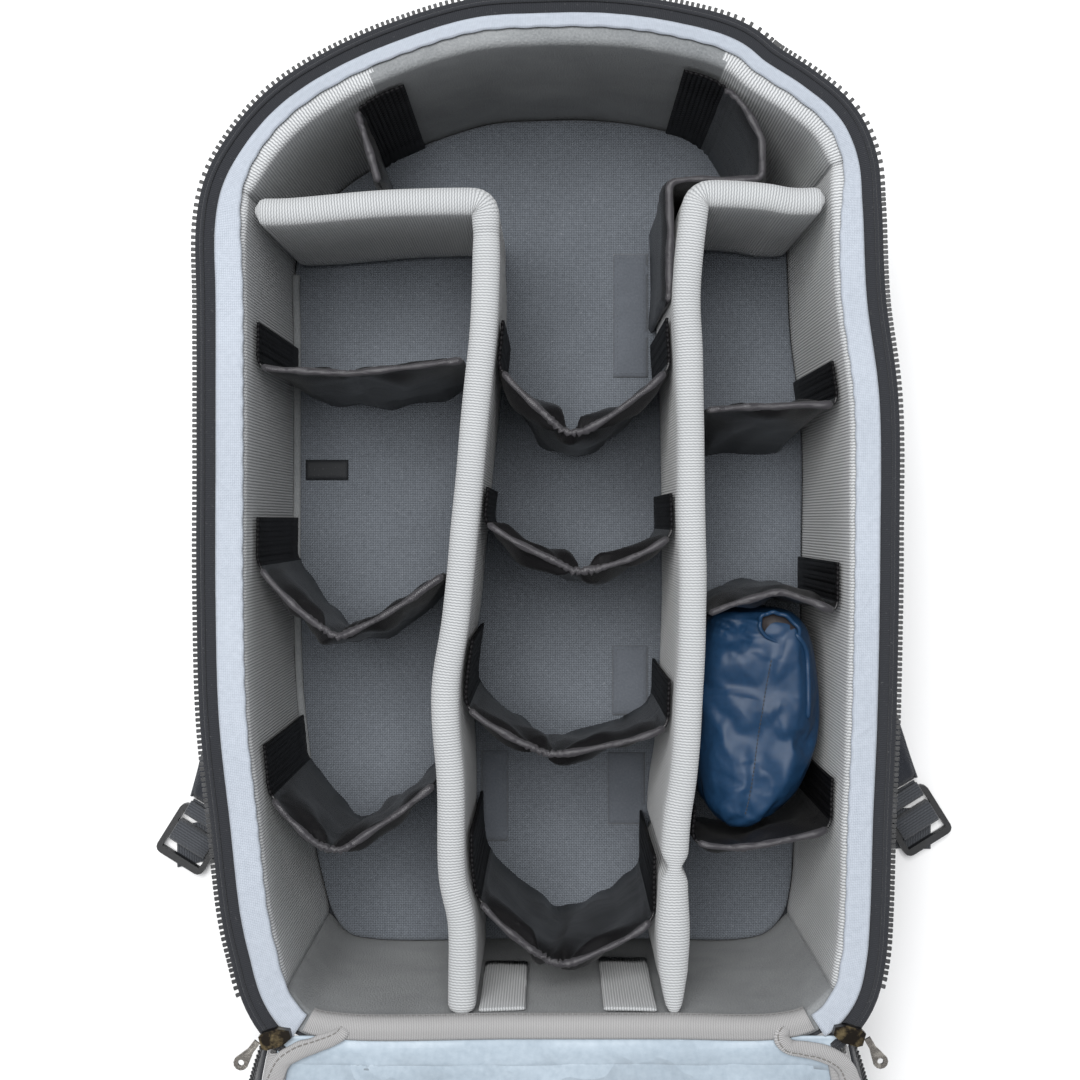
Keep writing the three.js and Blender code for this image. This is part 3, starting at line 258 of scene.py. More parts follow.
def stitchGroup():
    # One row of lockstitch at a distance v: raised threads, and the cloth drawn in under them
    tree, given, result = groupTree("stitchRow", [
        vectorIn, ("Row", "NodeSocketFloat", 0.003), ("Length", "NodeSocketFloat", 0.0028),
        ("Width", "NodeSocketFloat", 0.0004)], ["Mask", "Height"])
    u, v, w = splitVector(tree, given["Vector"])
    away = calc(tree, "ABSOLUTE", calc(tree, "SUBTRACT", v, given["Row"]))
    across = calc(tree, "SUBTRACT", 1.0,
                  calc(tree, "MINIMUM", calc(tree, "DIVIDE", away, given["Width"]), 1.0))
    phase = calc(tree, "ABSOLUTE", calc(tree, "MULTIPLY_ADD", calc(
        tree, "FRACT", calc(tree, "DIVIDE", u, given["Length"])), 2.0, -1.0))
    dash = calc(tree, "MINIMUM", calc(tree, "MULTIPLY", calc(tree, "MAXIMUM", calc(
        tree, "SUBTRACT", 0.82, phase), 0.0), 6.0), 1.0)
    mask = calc(tree, "MULTIPLY", calc(tree, "MINIMUM", calc(tree, "MULTIPLY", across, 2.0), 1.0), dash)
    pull = calc(tree, "MAXIMUM", calc(tree, "SUBTRACT", 1.0, calc(
        tree, "DIVIDE", away, calc(tree, "MULTIPLY", given["Width"], 4.0))), 0.0)
    tree.links.new(mask, result["Mask"])
    tree.links.new(calc(tree, "SUBTRACT", mask, calc(tree, "MULTIPLY", pull, 0.9)), result["Height"])
    return tree


def wearGroup():
    # Handling marks: broad clouds and fine lint over the whole surface
    tree, given, result = groupTree("handling", [vectorIn, ("Scale", "NodeSocketFloat", 14.0)],
                                    ["Cloud", "Lint"])
    tree.links.new(noiseOf(tree, given["Vector"], given["Scale"], 4.0, 0.6), result["Cloud"])
    specks = noiseOf(tree, given["Vector"], calc(tree, "MULTIPLY", given["Scale"], 60.0), 2.0, 0.5)
    tree.links.new(calc(tree, "MAXIMUM", calc(tree, "MULTIPLY_ADD", specks, 6.0, -3.9), 0.0), result["Lint"])
    return tree


groups = {
    "ribs": ribGroup(), "weave": weaveGroup(), "nap": napGroup(), "satin": satinGroup(),
    "creases": creaseGroup(), "stitches": stitchGroup(), "wear": wearGroup(),
}


def useGroup(tree, name, vector, **values):
    node = tree.nodes.new("ShaderNodeGroup")
    node.node_tree = groups[name]
    tree.links.new(vector, node.inputs["Vector"])
    for label, value in values.items():
        node.inputs[label].default_value = value
    return node.outputs


def mixColour(tree, factor, first, second, mode="MIX"):
    node = tree.nodes.new("ShaderNodeMix")
    node.data_type = "RGBA"
    node.blend_type = mode
    for index, value in ((0, factor), (6, first), (7, second)):
        if isinstance(value, bpy.types.NodeSocket):
            tree.links.new(value, node.inputs[index])
        else:
            node.inputs[index].default_value = value
    return node.outputs[2]


def clothFinish(name, look):
    material = bpy.data.materials.new(name)
    material.use_nodes = True
    tree = material.node_tree
    shader = tree.nodes["Principled BSDF"]
    where = tree.nodes.new("ShaderNodeTexCoord").outputs["Object"]
    if look.get("onObject"):
        cloth = where
    else:
        sheet = tree.nodes.new("ShaderNodeUVMap")
        sheet.uv_map = "cloth"
        cloth = sheet.outputs[0]
    pattern = useGroup(tree, look["pattern"], cloth, Pitch=look["pitch"] * 0.001,
                       Wobble=look.get("wobble", 0.25))
    wear = useGroup(tree, "wear", where, Scale=look.get("clouds", 14.0))
    shade = calc(tree, "MULTIPLY_ADD", calc(tree, "SUBTRACT", wear["Cloud"], 0.5), look.get("uneven", 0.5),
                 pattern["Shade"])
    colour = mixColour(tree, calc(tree, "MINIMUM", calc(tree, "MAXIMUM", shade, 0.0), 1.0),
                       tint(look["dark"]), tint(look["light"]))
    colour = mixColour(tree, calc(tree, "MULTIPLY", wear["Lint"], look.get("lint", 0.12)),
                       colour, tint(look.get("lintColour", "#b8b8b6")))
    height = calc(tree, "MULTIPLY", pattern["Height"], look["relief"])
    if look.get("creases"):
        folds = useGroup(tree, "creases", where, Scale=look["creases"][0], Stretch=look["creases"][2])
        height = calc(tree, "MULTIPLY_ADD", folds["Height"], look["creases"][1], height)
    for row, length, width, threadColour in look.get("stitches", ()):
        seam = useGroup(tree, "stitches", cloth, Row=row * 0.001, Length=length * 0.001, Width=width * 0.001)
        colour = mixColour(tree, seam["Mask"], colour, tint(threadColour))
        height = calc(tree, "MULTIPLY_ADD", seam["Height"], 0.35, height)
    bump = tree.nodes.new("ShaderNodeBump")
    bump.inputs["Distance"].default_value = 0.001
    bump.inputs["Strength"].default_value = look.get("strength", 1.0)
    tree.links.new(height, bump.inputs["Height"])
    tree.links.new(bump.outputs[0], shader.inputs["Normal"])
    tree.links.new(colour, shader.inputs["Base Color"])
    rough = calc(tree, "MULTIPLY_ADD", wear["Cloud"], 0.14, look["rough"] - 0.07)
    tree.links.new(rough, shader.inputs["Roughness"])
    shader.inputs["Sheen Weight"].default_value = look.get("sheen", 0.0)
    shader.inputs["Sheen Roughness"].default_value = look.get("sheenRough", 0.5)
    shader.inputs["Specular IOR Level"].default_value = look.get("specular", 0.3)
    shader.inputs["Anisotropic"].default_value = look.get("anisotropic", 0.0)
    return material


finishes = {
    "lining": clothFinish("loopLining", {
        "pattern": "ribs", "pitch": 1.5, "relief": 0.6, "dark": "#787b7f", "light": "#cfd1d2",
        "rough": 0.92, "sheen": 0.3, "uneven": 0.25}),
    "liningNap": clothFinish("brushedLining", {
        "pattern": "nap", "pitch": 1.3, "relief": 0.9, "dark": "#565a5d", "light": "#babcbd",
        "rough": 0.95, "sheen": 0.2, "uneven": 0.5, "lint": 0.2, "lintColour": "#d0d2d3"}),
    "dividerLining": clothFinish("dividerLining", {
        "pattern": "ribs", "pitch": 1.35, "relief": 0.45, "dark": "#7b7e81", "light": "#bfc1c2",
        "rough": 0.92, "sheen": 0.35, "uneven": 0.2}),
    "floor": clothFinish("floorWeave", {
        "pattern": "weave", "pitch": 1.0, "relief": 0.45, "dark": "#373b41", "light": "#7d838b",
        "rough": 0.88, "sheen": 0.1, "uneven": 0.5, "lint": 0.3, "lintColour": "#c4c8cc"}),
    "facing": clothFinish("facingSatin", {
        "pattern": "weave", "pitch": 0.8, "relief": 0.12, "dark": "#8b929c", "light": "#b4bbc5",
        "rough": 0.6, "sheen": 0.2, "uneven": 0.5, "creases": (55.0, 0.45, 1.0),
        "stitches": [(3.3, 2.6, 0.35, "#868f9a")]}),
    "satin": clothFinish("flapSatin", {
        "pattern": "satin", "pitch": 0.55, "relief": 0.03, "dark": "#8795a1", "light": "#b3bfc9",
        "rough": 0.42, "sheen": 0.15, "uneven": 0.6, "creases": (16.0, 2.4, 1.6), "specular": 0.45}),
    "binding": clothFinish("grosgrain", {
        "pattern": "ribs", "pitch": 0.8, "relief": 0.3, "dark": "#7b7a7a", "light": "#a9a8a8",
        "rough": 0.8, "sheen": 0.2, "uneven": 0.3, "wobble": 0.1,
        "stitches": [(2.6, 3.0, 0.4, "#74716d"), (19.8, 3.0, 0.4, "#74716d")]}),
    "divider": clothFinish("dividerNylon", {
        "pattern": "weave", "pitch": 0.5, "relief": 0.05, "dark": "#060507", "light": "#100f11",
        "rough": 0.31, "sheen": 0.02, "uneven": 0.5, "creases": (22.0, 0.6,
                                                                 0.6), "specular": 0.55, "lint": 0.002}),
    "tab": clothFinish("dividerTab", {
        "pattern": "ribs", "pitch": 2.6, "relief": 0.7, "dark": "#050506", "light": "#151416",
        "rough": 0.55, "uneven": 0.4, "specular": 0.15, "lint": 0.01}),
    # Hem: the dividers' dark satin painted lighter grey, standing in for the sheen on its upward-facing roll (painted
    # sheen)
    "hem": clothFinish("dividerHemPaintedSheen", {
        "pattern": "weave", "pitch": 0.5, "relief": 0.06, "dark": "#1f1e21", "light": "#3d3b3f",
        "rough": 0.36, "sheen": 0.1, "uneven": 0.7, "creases": (80.0, 0.8, 0.7), "specular": 0.5,
        "lint": 0.02}),
    # Inside of the pouch's opening: near-black painted shade
    "hollow": clothFinish("pouchHollowPaintedShade", {
        "pattern": "weave", "pitch": 0.6, "relief": 0.05, "dark": "#1a1718", "light": "#2f2a2a",
        "rough": 0.6, "uneven": 0.4, "lint": 0.0}),
    "strap": clothFinish("strapNylon", {
        "pattern": "weave", "pitch": 1.0, "relief": 0.2, "dark": "#14161b", "light": "#2b2f38",
        "rough": 0.66, "sheen": 0.15, "uneven": 0.4, "lint": 0.06}),
    "foot": clothFinish("footLoop", {
        "pattern": "nap", "pitch": 1.2, "relief": 0.4, "dark": "#3c4046", "light": "#787d85",
        "rough": 0.9, "sheen": 0.3, "uneven": 0.3}),
    "tape": clothFinish("zipTape", {
        "pattern": "ribs", "pitch": 0.9, "relief": 0.18, "dark": "#131519", "light": "#2a2c31",
        "rough": 0.8, "sheen": 0.2, "uneven": 0.3, "wobble": 0.1, "lint": 0.1}),
    "nylon": clothFinish("packNylon", {
        "pattern": "weave", "pitch": 1.1, "relief": 0.22, "dark": "#1b1d21", "light": "#34373c",
        "rough": 0.68, "sheen": 0.15, "uneven": 0.4, "lint": 0.08}),
    "pouch": clothFinish("pouchNylon", {
        "pattern": "weave", "pitch": 0.6, "relief": 0.04, "dark": "#0c1f34", "light": "#1b3b5a",
        "rough": 0.42, "uneven": 0.6, "creases": (40.0, 0.7, 0.8), "specular": 0.32, "lint": 0.0,
        "onObject": True}),
    "label": clothFinish("wovenLabel", {
        "pattern": "ribs", "pitch": 0.5, "relief": 0.1, "dark": "#17181a", "light": "#2c2e31",
        "rough": 0.6, "uneven": 0.2}),
    "mesh": clothFinish("spacerMesh", {
        "pattern": "weave", "pitch": 2.4, "relief": 0.6, "dark": "#17181b", "light": "#3b3d42",
        "rough": 0.9, "sheen": 0.2, "uneven": 0.2}),
    "webbing": clothFinish("webbing", {
        "pattern": "ribs", "pitch": 1.5, "relief": 0.35, "dark": "#26282c", "light": "#4a4d52",
        "rough": 0.7, "sheen": 0.2, "uneven": 0.2, "wobble": 0.08}),
}


def hardFinish(name, look):
    # Moulded or cast finish: fine grain that varies roughness and bumps it, scuffs that lighten it
    material = bpy.data.materials.new(name)
    material.use_nodes = True
    tree = material.node_tree
    shader = tree.nodes["Principled BSDF"]
    where = tree.nodes.new("ShaderNodeTexCoord").outputs["Object"]
    wear = useGroup(tree, "wear", where, Scale=look["clouds"])
    grain = noiseOf(tree, where, look["grain"], 2.0, 0.6)
    worn = calc(tree, "MULTIPLY",
                calc(tree, "MAXIMUM", calc(tree, "MULTIPLY_ADD", wear["Cloud"], 5.0, -2.6), 0.0),
                look["worn"])
    worn = calc(tree, "MINIMUM", worn, 1.0)
    tree.links.new(mixColour(tree, worn, tint(look["dark"]), tint(look["light"])),
                   shader.inputs["Base Color"])
    tree.links.new(calc(tree, "MULTIPLY_ADD", grain, 0.2, look["rough"] - 0.1), shader.inputs["Roughness"])
    shader.inputs["Metallic"].default_value = look.get("metal", 0.0)
    bump = tree.nodes.new("ShaderNodeBump")
    bump.inputs["Distance"].default_value = 0.0002
    bump.inputs["Strength"].default_value = look.get("bump", 0.4)
    tree.links.new(grain, bump.inputs["Height"])
    tree.links.new(bump.outputs[0], shader.inputs["Normal"])
    return material


finishes["plastic"] = hardFinish("mouldedPlastic", {
    "dark": "#141517", "light": "#2e2f33", "rough": 0.45, "clouds": 60.0, "grain": 2600.0, "worn": 0.5})
finishes["teeth"] = hardFinish("zipTeeth", {
    "dark": "#18191b", "light": "#3c3d41", "rough": 0.55, "clouds": 90.0, "grain": 2000.0, "worn": 0.7})
finishes["slider"] = hardFinish("antiqueMetal", {
    "dark": "#2c2824", "light": "#8f7f5f", "rough": 0.34, "clouds": 160.0, "grain": 1600.0, "worn": 0.8,
    "metal": 1.0})
finishes["pull"] = hardFinish("brightMetal", {
    "dark": "#8f8a84", "light": "#d8d2c8", "rough": 0.28, "clouds": 160.0, "grain": 1600.0, "worn": 0.9,
    "metal": 1.0})
print("finishes ready")


# Shared shapes, drawn in millimetres as the part's own source is

levels = {
    "shellBase": 28, "padBase": 30, "floorTop": 40, "padTop": 187, "shellTop": 185.5,
    "dividerFoot": 40.3, "dividerTop": 183, "thinTop": 172, "tapeBase": 185.8,
}
offsets = {"shellInner": 11.8, "shellOuter": 13.5}

mouth = {"halfWidth": 146, "halfLength": 235, "centre": 4}
mouthOutline = [
    (-0.67, -1.0), (-0.775, -0.985), (-0.836, -0.936), (-0.877, -0.851), (-0.904, -0.774), (-0.938, -0.587),
    (-0.973, -0.383), (-0.984, -0.14), (-0.984, 0.153), (-0.984, 0.472), (-0.986, 0.621), (-0.966, 0.689),
    (-0.914, 0.749), (-0.836, 0.809), (-0.756, 0.851), (-0.63, 0.898), (-0.466, 0.943), (-0.217, 0.991),
    (-0.014, 1.0), (0.205, 1.0), (0.411, 0.983), (0.592, 0.951), (0.674, 0.912), (0.801, 0.861),
    (0.897, 0.809), (0.94, 0.749), (0.952, 0.664), (0.966, 0.472), (1.007, 0.268), (1.01, -0.017),
    (1.0, -0.383), (0.986, -0.587), (0.977, -0.774), (0.966, -0.868), (0.938, -0.936), (0.87, -0.983),
    (0.767, -1.0), (0.411, -1.0), (-0.1, -1.0),
]


def placeOf(across, along):
    return np.array([across * mouth["halfWidth"], along * mouth["halfLength"] + mouth["centre"]])


def smoothThrough(points, closed=False, parts=16):
    # Centripetal curve through the points
    points = np.asarray(points, float)
    count = len(points)
    pick = (lambda i: points[i % count]) if closed else None
    line = []
    for i in range(count if closed else count - 1):
        if closed:
            p0, p1, p2, p3 = (pick(i + step) for step in (-1, 0, 1, 2))
        else:
            p1, p2 = points[i], points[i + 1]
            p0 = points[i - 1] if i else 2 * p1 - p2
            p3 = points[i + 2] if i + 2 < count else 2 * p2 - p1
        d0, d1, d2 = (max(np.linalg.norm(b - a), 1e-4) ** 0.5 for a, b in ((p0, p1), (p1, p2), (p2, p3)))
        t1 = ((p1 - p0) / d0 - (p2 - p0) / (d0 + d1) + (p2 - p1) / d1) * d1
        t2 = ((p2 - p1) / d1 - (p3 - p1) / (d1 + d2) + (p3 - p2) / d2) * d1
        for t in np.arange(parts) / parts:
            line.append(p1 + t1 * t + (-3 * p1 + 3 * p2 - 2 * t1 - t2) * t ** 2
                        + (2 * p1 - 2 * p2 + t1 + t2) * t ** 3)
    if not closed:
        line.append(points[-1])
    return np.array(line)


def lengthsOf(line):
    return np.concatenate([[0], np.cumsum(np.linalg.norm(np.diff(line, axis=0), axis=1))])


def evenly(line, spacing):
    run = lengthsOf(line)
    count = max(int(round(run[-1] / spacing)), 2)
    at = np.linspace(0, run[-1], count + 1)
    return np.stack([np.interp(at, run, line[:, axis]) for axis in range(line.shape[1])], axis=1)


def headings(line, closed=False):
    if closed:
        step = np.roll(line, -1, axis=0) - np.roll(line, 1, axis=0)
    else:
        step = np.gradient(line, axis=0)
    return step / np.linalg.norm(step, axis=1, keepdims=True)


outlineLoop = smoothThrough([placeOf(*row) for row in mouthOutline], closed=True, parts=24)
outlineLoop = np.vstack([outlineLoop, outlineLoop[:1]])
outlineEven = evenly(outlineLoop, 1.0)[:-1]
outlineLength = lengthsOf(outlineLoop)[-1]
outlineShares = np.arange(len(outlineEven)) / len(outlineEven)
outlineWays = headings(outlineEven, closed=True)
for smoothing in range(6):
    outlineWays = (np.roll(outlineWays, 1, axis=0) + 2 * outlineWays + np.roll(outlineWays, -1, axis=0)) / 4
outlineWays /= np.linalg.norm(outlineWays, axis=1, keepdims=True)


def mouthAt(share, offset):
    wrapped = np.mod(share, 1)
    place = [np.interp(wrapped, outlineShares, outlineEven[:, axis], period=1) for axis in (0, 1)]
    way = [np.interp(wrapped, outlineShares, outlineWays[:, axis], period=1) for axis in (0, 1)]
    return np.stack([place[0] - way[1] * offset, place[1] + way[0] * offset], axis=-1)


def shareNear(across, along):
    return outlineShares[np.argmin(np.linalg.norm(outlineEven - placeOf(across, along), axis=1))]


zipCorners = {"left": shareNear(-0.775, -0.985), "right": shareNear(0.87, -0.983)}
seams = [shareNear(-0.836, -0.936), shareNear(-0.966, 0.689), shareNear(0.94, 0.749),
         shareNear(0.938, -0.936)]


def sharesBetween(start, end, spacing=3.0):
    end = end + 1 if end <= start else end
    return np.linspace(start, end, max(int((end - start) * outlineLength / spacing), 8))


def sag(x, y, z, scale, size):
    # Smooth unevenness of sewn cloth
    return noise.noise(Vector((x, y, z)) / scale) * size


def newPiece(name, points, faces, uvs):
    mesh = bpy.data.meshes.new(name)
    mesh.from_pydata((np.asarray(points) * 0.001).tolist(), [], faces)
    layer = mesh.uv_layers.new(name="cloth")
    layer.data.foreach_set("uv", (np.asarray(uvs, float) * 0.001).ravel())
    mesh.polygons.foreach_set("use_smooth", [True] * len(mesh.polygons))
    piece = bpy.data.objects.new(name, mesh)
    bpy.context.collection.objects.link(piece)
    return piece


def sweptPiece(name, rows, closedAlong=False):
    # A skin over rings of points, closed at both ends unless the rows themselves close
    rows = np.asarray(rows, float)
    count, around = rows.shape[:2]
    points = rows.reshape(-1, 3)
    along = np.concatenate([[0], np.cumsum(np.linalg.norm(np.diff(
        np.vstack([rows, rows[:1]]) if closedAlong else rows, axis=0), axis=2).mean(axis=1))])
    ring = np.concatenate([rows, rows[:, :1]], axis=1)
    across = np.concatenate([[0], np.cumsum(np.linalg.norm(np.diff(ring, axis=1), axis=2).mean(axis=0))])
    faces, uvs = [], []
    for i in range(count if closedAlong else count - 1):
        here, there = i * around, ((i + 1) % count) * around
        for j in range(around):
            k = (j + 1) % around
            faces.append((here + j, there + j, there + k, here + k))
            uvs += [(along[i], across[j]), (along[i + 1], across[j]),
                    (along[i + 1], across[j + 1]), (along[i], across[j + 1])]
    if not closedAlong:
        extra = [rows[0].mean(axis=0), rows[-1].mean(axis=0)]
        points = np.vstack([points, extra])
        last = (count - 1) * around
        for j in range(around):
            k = (j + 1) % around
            faces.append((j, k, count * around))
            uvs += [(0, across[j]), (0, across[j + 1]), (2, (across[j] + across[j + 1]) / 2)]
            faces.append((last + k, last + j, count * around + 1))
            uvs += [(along[-1], across[j + 1]), (along[-1], across[j]),
                    (along[-1] + 2, (across[j] + across[j + 1]) / 2)]
    volume = 0.0
    for face in faces:
        a, b, c = (points[i] for i in face[:3])
        volume += np.dot(a, np.cross(b, c))
        if len(face) == 4:
            volume += np.dot(a, np.cross(c, points[face[3]]))
    if volume < 0:
        turned, at = [], 0
        for face in faces:
            turned += uvs[at:at + len(face)][::-1]
            at += len(face)
        faces, uvs = [face[::-1] for face in faces], turned
    return newPiece(name, points, faces, uvs)


def circle(count):
    # Cosine and sine of evenly spaced angles
    return [(math.cos(a), math.sin(a)) for a in np.linspace(0, 2 * math.pi, count + 1)[:-1]]


def pickPiece(piece):
    clearSelection()
    piece.select_set(True)
    bpy.context.view_layer.objects.active = piece


def facesOut(piece):
    pickPiece(piece)
    bpy.ops.object.mode_set(mode="EDIT")
    bpy.ops.mesh.select_all(action="SELECT")
    bpy.ops.mesh.normals_make_consistent(inside=False)
    bpy.ops.object.mode_set(mode="OBJECT")


def dress(piece, finish, nodes=(), body="root"):
    piece.data.materials.clear()
    piece.data.materials.append(finishes[finish])
    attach(piece, body)
    if nodes:
        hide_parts(*nodes)
    return piece


def roundedLoop(corners, radii, parts=4):
    # Flat closed loop with rounded corners
    corners = np.asarray(corners, float)
    loop = []
    for i, corner in enumerate(corners):
        back, ahead = corners[i - 1] - corner, corners[(i + 1) % len(corners)] - corner
        reach = min(radii[i] if hasattr(radii, "__len__") else radii,
                    np.linalg.norm(back) / 2.02, np.linalg.norm(ahead) / 2.02)
        enter = corner + back / np.linalg.norm(back) * reach
        leave = corner + ahead / np.linalg.norm(ahead) * reach
        for t in np.linspace(0, 1, parts + 1):
            loop.append((1 - t) ** 2 * enter + 2 * t * (1 - t) * corner + t ** 2 * leave)
    return np.array(loop)


def alongMouth(name, shares, profileAt, closedAlong=False):
    rows = []
    for share in shares:
        profile = np.asarray(profileAt(share), float)
        flat = mouthAt(np.full(len(profile), share), profile[:, 0])
        rows.append(np.column_stack([flat, profile[:, 1]]))
    return sweptPiece(name, rows, closedAlong)


# Shell, walls and floor

def buildShell():
    corner = 7
    heights = np.linspace(levels["shellBase"] + corner, levels["shellTop"], 14)
    rings = [(offsets["shellOuter"] - corner + corner * math.sin(a),
              levels["shellBase"] + corner * (1 - math.cos(a)))
             for a in np.linspace(0, math.pi / 2, 6)[:-1]]
    rings += [(offsets["shellOuter"], z) for z in heights]
    rings += [(offsets["shellInner"], z) for z in heights[::-1]]
    rings += [(offsets["shellInner"] - 2, levels["shellBase"] + 1.7)]
    shares = np.arange(420) / 420
    rows = []
    for share in shares:
        row = []
        for offset, z in rings:
            x, y = mouthAt(share, offset)
            if offset == offsets["shellOuter"]:
                rise = (z - levels["shellBase"]) / 157
                swell = sag(x, y, z, 60, 0.5) - 0.5 * (1 - math.sin(math.pi * min(max(rise, 0), 1)))
                x, y = mouthAt(share, offset + swell)
            row.append((x, y, z))
        rows.append(row)
    rows = np.array(rows).transpose(1, 0, 2)
    shell = sweptPiece("pack_shell", rows)
    dress(shell, "nylon", ["outer_shell"])
    piping = alongMouth("base_piping", shares, lambda share: [
        (offsets["shellOuter"] - 1.6 + 1.9 * ca,
         levels["shellBase"] + 4.2 + 1.9 * sa) for ca, sa in circle(8)],
        closedAlong=True)
    dress(piping, "tape")


def buildWalls():
    names = ["wall_pad_left", "wall_pad_top", "wall_pad_right", "wall_pad_bottom"]
    top, base = levels["padTop"] - 0.1, levels["padBase"] + 0.2
    for i, name in enumerate(names):
        start, end = seams[i], seams[(i + 1) % 4]
        shares = sharesBetween(start, end, 2.6)
        last = shares[-1]

        def profileAt(share, start=start, last=last):
            near = min(share - start, last - share) * outlineLength
            pull = 2.2 * math.exp(-near / 3.5)
            inner = 0.1 + pull
            outer = 11.4 - pull * 0.6
            loop = roundedLoop([(inner, base), (inner, top - pull * 0.5), (outer, top - pull * 0.5),
                                (outer, base)],
                               [3, 5.2, 3.4, 2], 5)
            face = []
            for offset, z in loop:
                rise = (z - base) / (top - base)
                swell = 0.0
                if offset < 5:
                    x, y = mouthAt(share, 0)
                    swell = -0.25 * math.sin(math.pi * rise) + sag(x, y, z, 34, 0.45)
                face.append((offset + swell, z))
            return face

        pad = alongMouth(name + "_cloth", shares, lambda share: subdivided(profileAt(share)))
        dress(pad, "lining" if name[9:] in ("left", "right") else "liningNap", [name])
        if name == "wall_pad_top":
            # ribbed beyond the two folded tabs, brushed between them
            pad.data.materials.append(finishes["lining"])
            for face in pad.data.polygons:
                face.material_index = int(not -0.083 < face.center.x < 0.087)


def subdivided(loop, longest=14.0):
    # Adds points on the long sides of a loop
    loop = [np.asarray(point, float) for point in loop]
    result = []
    for i, point in enumerate(loop):
        after = loop[(i + 1) % len(loop)]
        parts = max(int(np.linalg.norm(after - point) / longest), 1)
        result += [point + (after - point) * k / parts for k in range(parts)]
    return result


def buildFloor():
    shares = np.arange(360) / 360
    centre = np.array([2.0, 0.0])
    top = levels["floorTop"]
    rings = [(1.0, levels["padBase"] + 0.2), (1.0, top - 2.5), (0.997, top - 0.9), (0.988, top - 0.25)]
    rings += [(scale, top) for scale in (0.97, 0.94, 0.9, 0.85, 0.79, 0.72, 0.64, 0.55, 0.45, 0.34, 0.22,
                                         0.1)]
    rows = []
    edge = mouthAt(shares, -0.9)
    for scale, z in rings:
        flat = centre + (edge - centre) * scale
        rows.append([(x, y, z + (sag(x, y, 0, 55, 0.35) - 0.25 if scale < 0.98 else 0)) for x, y in flat])
    floor = sweptPiece("floor_cloth", rows)
    planarCloth(floor)
    dress(floor, "floor", ["floor_pad"])


def planarCloth(piece):
    # Lays the cloth pattern flat over a level piece
    mesh = piece.data
    layer = mesh.uv_layers["cloth"]
    for loop in mesh.loops:
        spot = mesh.vertices[loop.vertex_index].co
        layer.data[loop.index].uv = (spot.x, spot.y)


buildShell()
buildWalls()
buildFloor()
print("shell, walls and floor built")


# Facing, zip and hinge binding round the mouth

facing = {
    "thickness": 1.15,
    "topReach": 6.6,      # width where the lining's own roll shows beside it
    "leftReach": 13.2,    # width where it covers the wall's whole top
    "rightReach": 12.0,
}


def facingReach(share):
    # Wide on both side walls, narrow round the head of the pack
    x, y = mouthAt(share, 0)
    towardHead = 1 / (1 + math.exp(-(y - 165) / 9))
    side = facing["leftReach"] if x < 0 else facing["rightReach"]
    return side + (facing["topReach"] - side) * towardHead


def facingPath():
    # Down the outer edge's fold, over the wall and into the mouth
    return evenly(smoothThrough([(13.8, 187.9), (13.3, 188.5), (11, 188.55), (7, 188.6), (3.5, 188.5),
                                 (0.8, 187.9),
                                 (-0.9, 186.6), (-1.45, 184.9), (-1.5, 183.4)]), 0.25)


def buildFacing():
    path = facingPath()
    run = lengthsOf(path)
    ways = headings(path)
    thickness = facing["thickness"]

    def profileAt(share):
        along = share * outlineLength
        reach = min(facingReach(share) + 0.2 * math.sin(along / 1.9 + 2 * math.sin(along / 17)), run[-1])
        at = np.linspace(0, reach, 22)
        spots = np.stack([np.interp(at, run, path[:, axis]) for axis in (0, 1)], axis=1)
        turns = np.stack([np.interp(at, run, ways[:, axis]) for axis in (0, 1)], axis=1)
        normals = np.stack([turns[:, 1], -turns[:, 0]], axis=1)     # points down into the wall
        x, y = mouthAt(share, 6)
        upper, lower = [], []
        for k, (spot, normal) in enumerate(zip(spots, normals)):
            seam = -0.55 * math.exp(-((at[k] - 3.3) / 0.7) ** 2)
            pucker = 0.3 * math.sin(along * 2 * math.pi / 5.2 + at[k] * 0.5 + 2 * math.sin(along
                                                                                           / 23)) * math.exp(
                -abs(at[k] - 3.3) / 5.0)
            lift = seam + pucker + sag(x + at[k] * 3, y, 0, 15, 0.18) - 0.1
            ends = min(1, (at[k] + 0.02) / 0.6, (reach - at[k] + 0.02) / 0.8)
            upper.append(spot - normal * lift * ends)
            lower.append(spot + normal * thickness * max(ends, 0.12))
        return upper + lower[::-1]

    shares = sharesBetween(zipCorners["left"], zipCorners["right"], 1.6)
    band = alongMouth("facing_band", shares, profileAt)
    dress(band, "facing", ["rim_facing"])


def buildZipTape():
    shares = sharesBetween(zipCorners["left"], zipCorners["right"], 3)

    def profileAt(share):
        x, y = mouthAt(share, 18)
        wave = sag(x, y, 0, 45, 0.5)
        base = levels["tapeBase"]
        upper = [(12.0, base + 1.1), (13.9, base + 1.1), (16, base + 1.6 + wave * 0.4),
                 (19, base + 2.5 + wave * 0.8),
                 (21.2, base + 3.2 + wave), (23.3, base + 3.6 + wave)]
        lower = [(offset, z - 0.9) for offset, z in upper[::-1]]
        return upper + lower

    tape = alongMouth("body_tape", shares, profileAt)
    dress(tape, "tape", ["body_zip_tape"])

    def cordAt(share):
        x, y = mouthAt(share, 18)
        wave = sag(x, y, 0, 45, 0.5)
        return [(20.3 + 0.9 * ca, levels["tapeBase"] + 3.5 + wave + 0.8 * sa) for ca, sa in circle(8)]

    cord = alongMouth("body_tape_cord", shares, cordAt)
    dress(cord, "tape")


tooth = {"length": 4.6, "width": 1.75, "height": 1.9, "pitch": 2.7}


